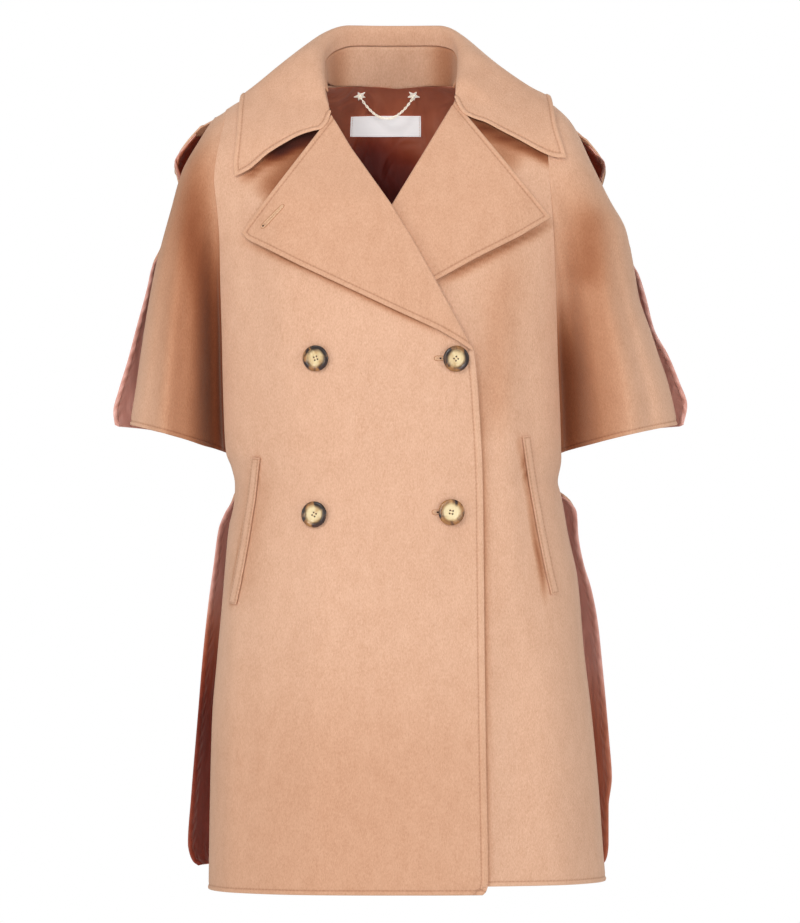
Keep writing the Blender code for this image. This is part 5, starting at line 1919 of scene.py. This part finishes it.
@dataclass
class Lapel:
    """A lapel folded back over its front: a half round roll, then a leaf to notch and edge."""

    side: Side
    finishes: Finishes
    roll_radius: float = 3.1 * MM
    line: float = 5.2
    cut: Cut = Cut(0.16, 0.32)

    def offset(self, u: Array, v: Array) -> Array:
        """How far the leaf's underside lies over the front, lifting towards its point.

        Args:
            u: Share along the roll, from the notch.
            v: Share of the way out from the roll.

        Returns:
            The height.
        """
        taper = smooth_step((1 - u) / 0.15)
        lift = LAPELS[self.side]["lift"] * MM
        off = LAPEL_ROLL_GAP + 1.0 * MM * smooth_step(v / 0.2) * (0.3 + 0.7 * taper)
        off = off + LAPEL_GORGE_GAP * smooth_step((0.25 - u) / 0.25)
        off = off + 0.9 * MM * np.sin(np.clip(v, 0, 1) * math.pi) * taper
        return off + lift * v ** 2 * smooth_step((0.55 - u) / 0.55)

    def grid(self) -> Array:
        """Rows from the back of the roll to the free edge, columns from the notch to the break.

        Returns:
            The outer face.
        """
        shape = LAPELS[self.side]
        u = spread(330 * MM, 4.4 * MM, 1.2 * MM, 22 * MM, (True, True))
        roll, free = polyline(shape["roll"], u), polyline(shape["lower"], u)
        width = np.linalg.norm(free - roll, axis=1)
        radius = np.minimum(self.roll_radius, 0.35 * width)
        turns = np.radians(np.linspace(150, 0, 11))[:, None]
        fold_in, fold_back = radius * (1 - np.sin(turns)), radius * (1 - np.cos(turns))
        v = spread(130 * MM, 4.2 * MM, 1.2 * MM, 20 * MM, (True, True))[1:, None]
        leaf_in = radius + (width - radius) * v
        reach = np.concatenate([fold_in, leaf_in])
        back = np.concatenate([fold_back, np.zeros_like(leaf_in)])
        share = reach / width
        x = roll[:, 0] + (free[:, 0] - roll[:, 0]) * share
        z = roll[:, 1] + (free[:, 1] - roll[:, 1]) * share
        at_front = np.maximum(reach, radius) / width
        front_x = roll[:, 0] + (free[:, 0] - roll[:, 0]) * at_front
        front_z = roll[:, 1] + (free[:, 1] - roll[:, 1]) * at_front
        y = FORM.front_of(self.side)(front_x, front_z) - self.offset(u, at_front) - WOOL + back
        return np.stack([x, y, z], axis=-1)

    def build(self) -> Object:
        """The leaf with its notch and lower edge stitched.

        Returns:
            The lapel.
        """
        outer = self.grid()
        inner = moved_in(outer, (0, -1, 0), WOOL)
        borders = [outer[-1], outer[11:, 0]]
        values = sewn(outer, [SewnLine(borders, self.line)])
        # a faint even painted shade over the lapel
        values["painted_shade"] = np.full(outer.shape[:2], 0.08)
        wall = Wall(stitched(outer, (0, -1, 0), values), inner, 1.0 * MM, values)
        name = f"lapel_{self.side.word}"
        return self.cut.dress(wall, name + "_cloth", name, self.finishes.wool, Slot.WOOL, outer)


# ---- small pieces

@dataclass(frozen=True)
class Seat:
    """A place with its own axes: across, up and out."""

    origin: Array
    across: Array
    up: Array
    out: Array

    @staticmethod
    def facing(origin: Array, out: Array, turn: float = 0.0) -> "Seat":
        """A seat whose across axis is level, then turned about its out axis.

        Args:
            origin: The place.
            out: Its outward direction.
            turn: Turn in radians.

        Returns:
            The seat.
        """
        out = unit(np.asarray(out, float))
        level = unit(np.cross((0.0, 0.0, 1.0), out))
        rise = np.cross(out, level)
        across = level * math.cos(turn) + rise * math.sin(turn)
        return Seat(np.asarray(origin, float), across, np.cross(out, across), out)

    def at(self, across: Array, up: Array, out: Array) -> Array:
        """Points from their three local sizes."""
        parts = [np.asarray(p, float)[..., None] for p in np.broadcast_arrays(across, up, out)]
        return self.origin + parts[0] * self.across + parts[1] * self.up + parts[2] * self.out


def disc(count: int) -> tuple[Array, Array, Array]:
    """A square grid bent to a disc: across u·sqrt(1 - v²/2) and up v·sqrt(1 - u²/2).

    Returns:
        Across and up as shares of the radius, and the distance from the middle.
    """
    u, v = np.meshgrid(np.linspace(-1, 1, count), np.linspace(-1, 1, count))
    across, up = u * np.sqrt(1 - v * v / 2), v * np.sqrt(1 - u * u / 2)
    return across, up, np.hypot(across, up)


def tubes(name: str, rings: Array, side: Array, out: Array, size: tuple[float, float],
          finish: Material, around: int = 10) -> Object:
    """Closed loops with an oval section: ring + side·cos(a)·wide + out·sin(a)·high.

    Args:
        name: The piece's name.
        rings: Points of each loop, (loops, n, 3).
        side: Unit vectors across the band, spread to the rings' shape.
        out: Unit vectors out of it, spread likewise.
        size: Half the band's width and half its height.
        finish: Its material.
        around: Points round the section.

    Returns:
        The object.
    """
    turn = np.linspace(0, 2 * math.pi, around, endpoint=False)[:, None]
    side, out = (np.broadcast_to(ways, rings.shape)[:, :, None] for ways in (side, out))
    points = rings[:, :, None] + side * np.cos(turn) * size[0] + out * np.sin(turn) * size[1]
    index = np.arange(points.size // 3).reshape(points.shape[:3])
    right, down = np.roll(index, -1, axis=2), np.roll(index, -1, axis=1)
    quads = np.stack([index, down, np.roll(down, -1, axis=2), right], axis=-1).reshape(-1, 4)
    return make_object(name, mesh_from(name, points.reshape(-1, 3), quads, {}), finish)


class Laid:
    """Finds the front of a built piece by rays along the depth axis."""

    def __init__(self, thing: Object) -> None:
        """Keep the piece's faces for the rays.

        Args:
            thing: A piece made of quads.
        """
        mesh = thing.data
        spots = np.empty(len(mesh.vertices) * 3, np.float32)
        mesh.vertices.foreach_get("co", spots)
        corners = np.empty(len(mesh.loops), np.int32)
        mesh.loops.foreach_get("vertex_index", corners)
        self.tree = BVHTree.FromPolygons(spots.reshape(-1, 3).tolist(),
                                         corners.reshape(-1, 4).tolist())

    def front(self, x: float, z: float) -> tuple[Array, Array]:
        """Point and outward normal where a ray from the front first meets the piece."""
        spot, normal, _, _ = self.tree.ray_cast(Vector((x, -1.0, z)), Vector((0.0, 1.0, 0.0)))
        normal = np.array(normal)
        return np.array(spot), normal if normal[1] < 0 else -normal


@dataclass
class Welt:
    """A slanted pocket welt: a narrow double lip on the front, barred at both ends."""

    side: Side
    finishes: Finishes
    width: float = WELT_WIDTH
    wall: float = WELT_WALL
    gap: float = WELT_GAP
    length: float = 170 * MM
    edge_line: float = 1.35
    bar_line: float = 1.6
    cut: Cut = Cut(0.0165, 0.175)

    def build(self, face: Face) -> Object:
        """The lip, following the front's own face.

        Args:
            face: Depth of the front under it.

        Returns:
            The welt.
        """
        share = spread(self.length, 2.4 * MM, 0.7 * MM, 10 * MM, (True, True))
        centre = polyline(POCKETS[self.side], share)
        along = unit(np.gradient(centre, axis=0))
        sideways = np.stack([-along[:, 1], along[:, 0]], axis=-1)
        across = np.linspace(-0.5, 0.5, 15)[:, None]
        x = centre[:, 0] + sideways[:, 0] * self.width * across
        z = centre[:, 1] + sideways[:, 1] * self.width * across
        crown = 0.35 * MM * np.cos(across * math.pi) * np.ones_like(share)
        low = FORM.on_face(face, x, z, -1, np.full(x.shape, self.gap))
        high = FORM.on_face(face, x, z, -1, self.gap + self.wall + crown)
        run = share * self.length / MM
        ends = np.minimum(share, 1 - share) * self.length / MM
        line = (self.width / 2 - np.abs(across * self.width)) / MM - self.edge_line
        barred = np.minimum(line, ends - self.bar_line)
        line = np.where(ends < 3.0, barred, line * np.ones_like(share))
        wall = Wall(high, low, 0.8 * MM, {"line": line, "run": run * np.ones_like(across)})
        name = f"pocket_welt_{self.side.word}"
        return self.cut.dress(wall, name + "_cloth", name, self.finishes.wool, Slot.WOOL, high)


@dataclass
class Button:
    """A dished horn button with four holes, held by two bars of thread."""

    number: int
    finishes: Finishes
    radius: float = BUTTON_RADIUS
    wall: float = BUTTON_WALL
    hole_out: float = 1.6 * MM
    thread: tuple[float, float] = (0.2 * MM, 0.16 * MM)
    profile: tuple[tuple[float, float], ...] = (
        (0.0, 0.56), (0.50, 0.57), (0.60, 0.68), (0.70, 0.92), (0.80, 1.0), (0.90, 0.97),
        (0.96, 0.84), (1.0, 0.62))

    def build(self) -> Object:
        """The disc on the front, with the thread in its holes.

        Returns:
            The button.
        """
        x, z = (np.array(v * MM) for v in BUTTON_PLACES[self.number - 1])
        foot = FORM.on_face(FORM.lapped_front, x, z, -1, np.array(SEAM_GAP * 2))
        seat = Seat.facing(foot, FORM.normal(FORM.lapped_front, x, z, -1), 0.35 * self.number)
        across, up, out = disc(76)
        pit = sum(np.exp(-((across * self.radius - a * self.hole_out) ** 2
                           + (up * self.radius - b * self.hole_out) ** 2) / (0.8 * MM) ** 2)
                  for a in (-1, 1) for b in (-1, 1))
        height = np.interp(out, *np.array(self.profile).T) * self.wall - pit * 1.1 * MM
        top = seat.at(across * self.radius, up * self.radius, height)
        narrow = np.where(out > 0.8, 1 - 0.08 * (out - 0.8) / 0.2, 1.0)
        base = seat.at(across * self.radius * narrow, up * self.radius * narrow,
                       np.where(out > 0.85, (out - 0.85) / 0.15 * 0.35 * self.wall, 0.0))
        rise = (top - seat.origin)[..., 2] / self.radius
        thing = Wall(top, base, 0.25 * MM, {"out": out, "high": rise, "pit": pit}).build(
            f"button_{self.number}_horn", self.finishes.horn)
        declare(thing, f"button_{self.number}", Slot.HORN)
        self.sew(seat)
        return thing

    def sew(self, seat: Seat) -> None:
        """Two parallel bars of thread from hole to hole.

        Args:
            seat: The button's own axes.
        """
        for hand in (-1, 1):
            turn = np.linspace(0, 2 * math.pi, 28, endpoint=False)
            level = 0.54 * self.wall + 0.3 * MM * np.sin(turn)
            path = seat.at(hand * self.hole_out + 0 * turn, np.cos(turn) * self.hole_out, level)
            name = f"button_{self.number}_thread_{'a' if hand < 0 else 'b'}"
            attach(tubes(name, path[None], seat.across, seat.out, self.thread, self.finishes.seam, 8),
                    "root")


@dataclass
class Buttonhole:
    """A bound buttonhole: a thread-wrapped border in a darker seam, with a dark disc painted as the
    shade in its small eye.
    """

    name: str
    start: tuple[float, float]
    end: tuple[float, float]
    finishes: Finishes
    half_width: float = 0.9 * MM
    cord: float = 1.0 * MM
    eye: float = 0.5 * MM
    opening: float = 1.0 * MM
    eye_from_end: float = 1.6 * MM

    def ring(self, word: str, laid: Laid, reach: float, rise: float, size: tuple[float, float],
             finish: Material) -> None:
        """One closed cord round the slit.

        Args:
            word: What to add to the buttonhole's name.
            laid: The piece on which it lies.
            reach: How far outside the wrapped border it runs.
            rise: Height of its middle over the cloth.
            size: Half its width and half its height.
            finish: Its material.
        """
        start, end = np.array(self.start) * MM, np.array(self.end) * MM
        way = unit(end - start)
        side = np.array([-way[1], way[0]])
        length = float(np.linalg.norm(end - start)) + 2 * reach
        turn = np.linspace(0, 2 * math.pi, 72, endpoint=False)
        along = np.sign(np.cos(turn)) * np.abs(np.cos(turn)) ** 0.35 * length / 2
        swell = self.half_width + reach + self.eye * smooth_step((along / length + 0.1) / 0.5)
        across = np.sign(np.sin(turn)) * np.abs(np.sin(turn)) ** 0.75 * swell
        flat = (start + end) / 2 + way * along[:, None] + side * across[:, None]
        hits = [laid.front(px, pz) for px, pz in flat]
        spots, normals = np.array([h[0] for h in hits]), np.array([h[1] for h in hits])
        path = spots + normals * rise
        ahead = unit(np.roll(path, -1, axis=0) - np.roll(path, 1, axis=0))
        side_on = unit(np.cross(ahead, normals))
        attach(tubes(self.name + word, path[None], side_on, normals, size, finish), "root")

    def build(self, laid: Laid) -> None:
        """The seam round the border, the wrapped border, and the eye.

        Args:
            laid: The piece on which it lies.
        """
        self.ring("_seam", laid, 1.25 * MM, 0.0, (0.5 * MM, 0.16 * MM), self.finishes.seam)
        self.ring("_cord", laid, 0.0, 0.2 * MM, (self.cord, 0.55 * MM), self.finishes.thread)
        start, end = np.array(self.start) * MM, np.array(self.end) * MM
        spot, normal = laid.front(*(end - unit(end - start) * self.eye_from_end))
        seat = Seat.facing(spot, normal)
        across, up, out = disc(13)
        top = seat.at(across * self.opening, up * self.opening, 1.0 * MM - 0.3 * MM * (1 - out))
        base = seat.at(across * self.opening, up * self.opening, 0 * out)
        # the eye is a dark disc on the cloth: painted shade where the opening would be
        eye = Wall(top, base, 0.1 * MM).build(self.name + "_eye", self.finishes.dark)
        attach(eye, "root")


@dataclass
class Hanger:
    """A chain hanger: a row of round links between two domed stars inside the back neck."""

    finishes: Finishes
    links: int = 34
    link_length: float = 2.5 * MM
    wire: float = 0.42 * MM

    def star(self, number: int, word: str) -> Object:
        """One five-pointed star, domed towards its middle.

        Args:
            number: Its row in STAR_PLACES.
            word: Its side.

        Returns:
            The star.
        """
        x, z = (np.array(v * MM) for v in STAR_PLACES[number])
        foot = FORM.inside_neck(x, z, np.array(STAR_GAP))
        seat = Seat.facing(foot, -FORM.normal(FORM.back, x, z, 1))
        across, up, out = disc(61)
        angle = np.arctan2(up, across)
        fifth = np.abs((angle - math.pi / 2 + math.pi / 5) % (2 * math.pi / 5) - math.pi / 5)
        inner = 0.45 * math.sin(math.pi / 5) / (
            0.45 * math.sin(math.pi / 5) * np.cos(math.pi / 5 - fifth)
            + (1 - 0.45 * math.cos(math.pi / 5)) * np.sin(math.pi / 5 - fifth))
        reach = STAR_RADIUS * np.clip(inner, 0.3, 1.0)
        dome = STAR_WALL * (1.0 - 0.45 * out)
        top = seat.at(across * reach, up * reach, dome)
        base = seat.at(across * reach, up * reach, np.zeros_like(out))
        thing = Wall(top, base, 0.2 * MM).build(f"hanger_star_{word}_gilt", self.finishes.gilt)
        declare(thing, f"hanger_star_{word}", Slot.GILT)
        return thing

    def build(self) -> None:
        """The stars, and all links in one mesh, every second link turned a quarter."""
        self.star(0, "right")
        self.star(1, "left")
        out = STAR_GAP + STAR_WALL + CHAIN_RADIUS + SEAM_GAP
        ends = np.array([FORM.inside_neck(x * MM, z * MM, out) for x, z in STAR_PLACES])
        t = np.linspace(0, 1, self.links)
        centre = ends[0] + (ends[1] - ends[0]) * t[:, None]
        centre[:, 2] -= CHAIN_SAG * (1 - (2 * t - 1) ** 2)
        ahead = unit(np.gradient(centre, axis=0))
        across = unit(np.cross(ahead, (0.0, 1.0, 0.0)))
        flat = np.where(np.arange(self.links)[:, None] % 2 == 0, across, np.cross(ahead, across))
        turn = np.linspace(0, 2 * math.pi, 16, endpoint=False)
        ring = (centre[:, None] + ahead[:, None] * np.cos(turn)[:, None] * self.link_length
                + flat[:, None] * np.sin(turn)[:, None] * (CHAIN_RADIUS - self.wire / 2))
        outward = unit(ring - centre[:, None])
        chain = tubes("hanger_chain_links", ring, outward, np.cross(ahead, flat)[:, None],
                      (self.wire, self.wire), self.finishes.gilt, 6)
        declare(chain, "hanger_chain", Slot.GILT)


@dataclass
class Label:
    """The bare neck label, a woven tape sewn down at both ends."""

    finishes: Finishes
    yarn: float = 0.16 * MM
    cut: Cut = Cut(0.0795, 0.0232)

    def build(self) -> Object:
        """The tape, with a row of stitches at each end.

        Returns:
            The tape.
        """
        x, z = np.meshgrid(np.linspace(*LABEL_ACROSS, 50) * MM, np.linspace(*LABEL_LEVELS, 16) * MM)
        lift = 0.7 * MM + 0.25 * MM * np.sin((x - z) / (9 * MM))
        low = FORM.inside_neck(x, z, lift)
        high = FORM.inside_neck(x, z, lift + LABEL_WALL)
        thing = self.cut.dress(Wall(high, low, 0.25 * MM), "neck_label_tape", "neck_label",
                               self.finishes.tape, Slot.TAPE, high)
        for word, across in (("right", LABEL_ACROSS[0] + 1.8), ("left", LABEL_ACROSS[1] - 1.8)):
            levels = np.linspace(LABEL_LEVELS[0] - 1.4, LABEL_LEVELS[1] + 1.4, 8) * MM
            self.stitches(f"label_stitches_{word}", across * MM, levels)
        return thing

    def stitches(self, name: str, across: float, levels: Array) -> None:
        """Short upright stitches, each a small closed ring pulled flat.

        Args:
            name: Name of the row.
            across: Its place across.
            levels: The stitches' levels.
        """
        turn = np.linspace(0, 2 * math.pi, 10, endpoint=False)
        lift = 0.7 * MM + LABEL_WALL + 0.3 * MM
        centre = FORM.inside_neck(np.full(levels.shape, across), levels, np.full(levels.shape, lift))
        normal = -FORM.normal(FORM.back, np.full(levels.shape, across), levels, 1)
        up = unit(np.cross(normal, (1.0, 0.0, 0.0)))
        side = np.cross(up, normal)
        ring = (centre[:, None] + up[:, None] * np.cos(turn)[:, None] * 0.9 * MM
                + side[:, None] * np.sin(turn)[:, None] * 0.12 * MM)
        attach(tubes(name, ring, side[:, None], normal[:, None], (self.yarn, self.yarn),
                      self.finishes.thread, 5), "root")


# ---- studio

@dataclass(frozen=True)
class Lamp:
    """One soft area lamp, aimed at the garment's middle."""

    name: str
    place: tuple[float, float, float]
    size: float
    power: float
    colour: Colour = (1.0, 1.0, 1.0)

    def build(self, aim: Vector) -> None:
        """The lamp, turned towards the aim.

        Args:
            aim: The point at which it looks.
        """
        data = bpy.data.lights.new(self.name, "AREA")
        data.shape = "DISK"
        data.size = self.size
        data.energy = self.power
        data.color = self.colour
        lamp = bpy.data.objects.new(self.name, data)
        lamp.location = self.place
        lamp.rotation_euler = (aim - Vector(self.place)).to_track_quat("-Z", "Y").to_euler()
        bpy.context.scene.collection.objects.link(lamp)


@dataclass(frozen=True)
class Studio:
    """White surroundings, a pale floor, soft lamps, and the camera straight in front."""

    aim: tuple[float, float, float] = (0.0, 0.0, -0.40)
    camera: tuple[float, float, float] = (0.0022, -9.0, -0.3905)
    lens: float = 325.0
    floor_level: float = -1.45
    floor_radius: float = 4.0
    ambient: float = 0.25
    lamps: tuple[Lamp, ...] = (
        Lamp("key", (-1.1, -2.6, 1.2), 0.8, 27.0, (1.0, 0.985, 0.965)),
        Lamp("front", (0.2, -3.8, 0.15), 1.4, 33.0),
        Lamp("fill", (3.2, -2.2, 0.1), 2.0, 44.0),
        Lamp("side", (-3.2, -2.0, -0.1), 2.0, 36.0),
        Lamp("top", (0.1, -0.6, 2.4), 1.6, 14.0),
        Lamp("back", (0.6, 3.4, 1.0), 2.6, 50.0),
    )

    def build(self) -> None:
        """Floor, lamps, surroundings and camera."""
        self.floor()
        for lamp in self.lamps:
            lamp.build(Vector(self.aim))
        self.surroundings()
        data = bpy.data.cameras.new("front")
        data.sensor_width = 36.0
        data.lens = self.lens
        data.clip_end = 60.0
        camera = bpy.data.objects.new("front", data)
        camera.location = self.camera
        camera.rotation_euler = (math.pi / 2, 0.0, 0.0)
        bpy.context.scene.collection.objects.link(camera)
        bpy.context.scene.camera = camera
        bpy.context.scene.view_settings.view_transform = "Standard"

    def floor(self) -> None:
        """A pale disc below the garment."""
        across, up, _ = disc(25)
        high = np.stack([across * self.floor_radius, up * self.floor_radius,
                         np.full_like(across, self.floor_level)], axis=-1)
        g = Graph("pale_floor")
        grain = g.noise(g.place(), 30.0)
        pale = g.mix(srgb("F4F3F1"), srgb("EDECEA"), (grain + 0.5).soft(0, 1))
        finish = g.finish({"Base Color": pale, "Roughness": 0.8})
        Wall(high, high - np.array([0, 0, 0.02])).build("floor", finish)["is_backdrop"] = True

    def surroundings(self) -> None:
        """White to the eye, and a dimmer even light on the garment."""
        world = bpy.data.worlds.new("white_studio")
        world.use_nodes = True
        bpy.context.scene.world = world
        tree = world.node_tree
        tree.nodes.clear()
        seen, lit = (tree.nodes.new("ShaderNodeBackground") for _ in range(2))
        for background, strength in ((seen, 1.0), (lit, self.ambient)):
            background.inputs["Color"].default_value = (1.0, 1.0, 1.0, 1.0)
            background.inputs["Strength"].default_value = strength
        path, both = tree.nodes.new("ShaderNodeLightPath"), tree.nodes.new("ShaderNodeMixShader")
        output = tree.nodes.new("ShaderNodeOutputWorld")
        tree.links.new(path.outputs["Is Camera Ray"], both.inputs[0])
        tree.links.new(lit.outputs[0], both.inputs[1])
        tree.links.new(seen.outputs[0], both.inputs[2])
        tree.links.new(both.outputs[0], output.inputs["Surface"])


# ---- the garment

def corners(box: tuple[Vector, Vector]) -> list[list[float]]:
    """A box as plain lists."""
    return [[round(float(v), 6) for v in corner] for corner in box]


def report(thing: Object) -> None:
    """Log a built piece with its face count."""
    LOG.info("%s: %d faces", thing.name, len(thing.data.polygons))


def main() -> None:
    """Build every piece over its node, then the studio."""
    logging.basicConfig(level=logging.INFO, format="%(message)s")
    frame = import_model()
    solid_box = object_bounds()
    LOG.info("frame nodes: %d", len(frame["nodes"]))
    finishes = Finishes()
    fronts = {side: Front(side, finishes) for side in Side}
    built = [fronts[side].build() for side in Side]
    built += Back(finishes).build()
    for side in Side:
        built += Sleeve(side, finishes).build()
    built += StormFlap(finishes).build()
    built += Collar(finishes).build()
    lapels = {side: Lapel(side, finishes).build() for side in Side}
    built += lapels.values()
    built += [Welt(side, finishes).build(fronts[side].face) for side in Side]
    built += [Button(number, finishes).build() for number in (1, 2, 3, 4)]
    on_front, on_lapel = Laid(built[0]), Laid(lapels[RIGHT])
    for word, laid, start, end, eye in (("upper", on_front, (56.0, -280.8), (40.0, -280.8), 5.2),
                                        ("lower", on_front, (52.0, -444.5), (37.5, -444.5), 4.6),
                                        ("lapel", on_lapel, (-122.6, -117.7), (-144.7, -140.4), 1.6)):
        Buttonhole(f"buttonhole_{word}", start, end, finishes, eye_from_end=eye * MM).build(laid)
    Hanger(finishes).build()
    built.append(Label(finishes).build())
    for thing in built:
        report(thing)
    Studio().build()
    json.dumps({"cad": corners(solid_box), "visual": corners(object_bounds())})


if __name__ == "__main__":
    main()
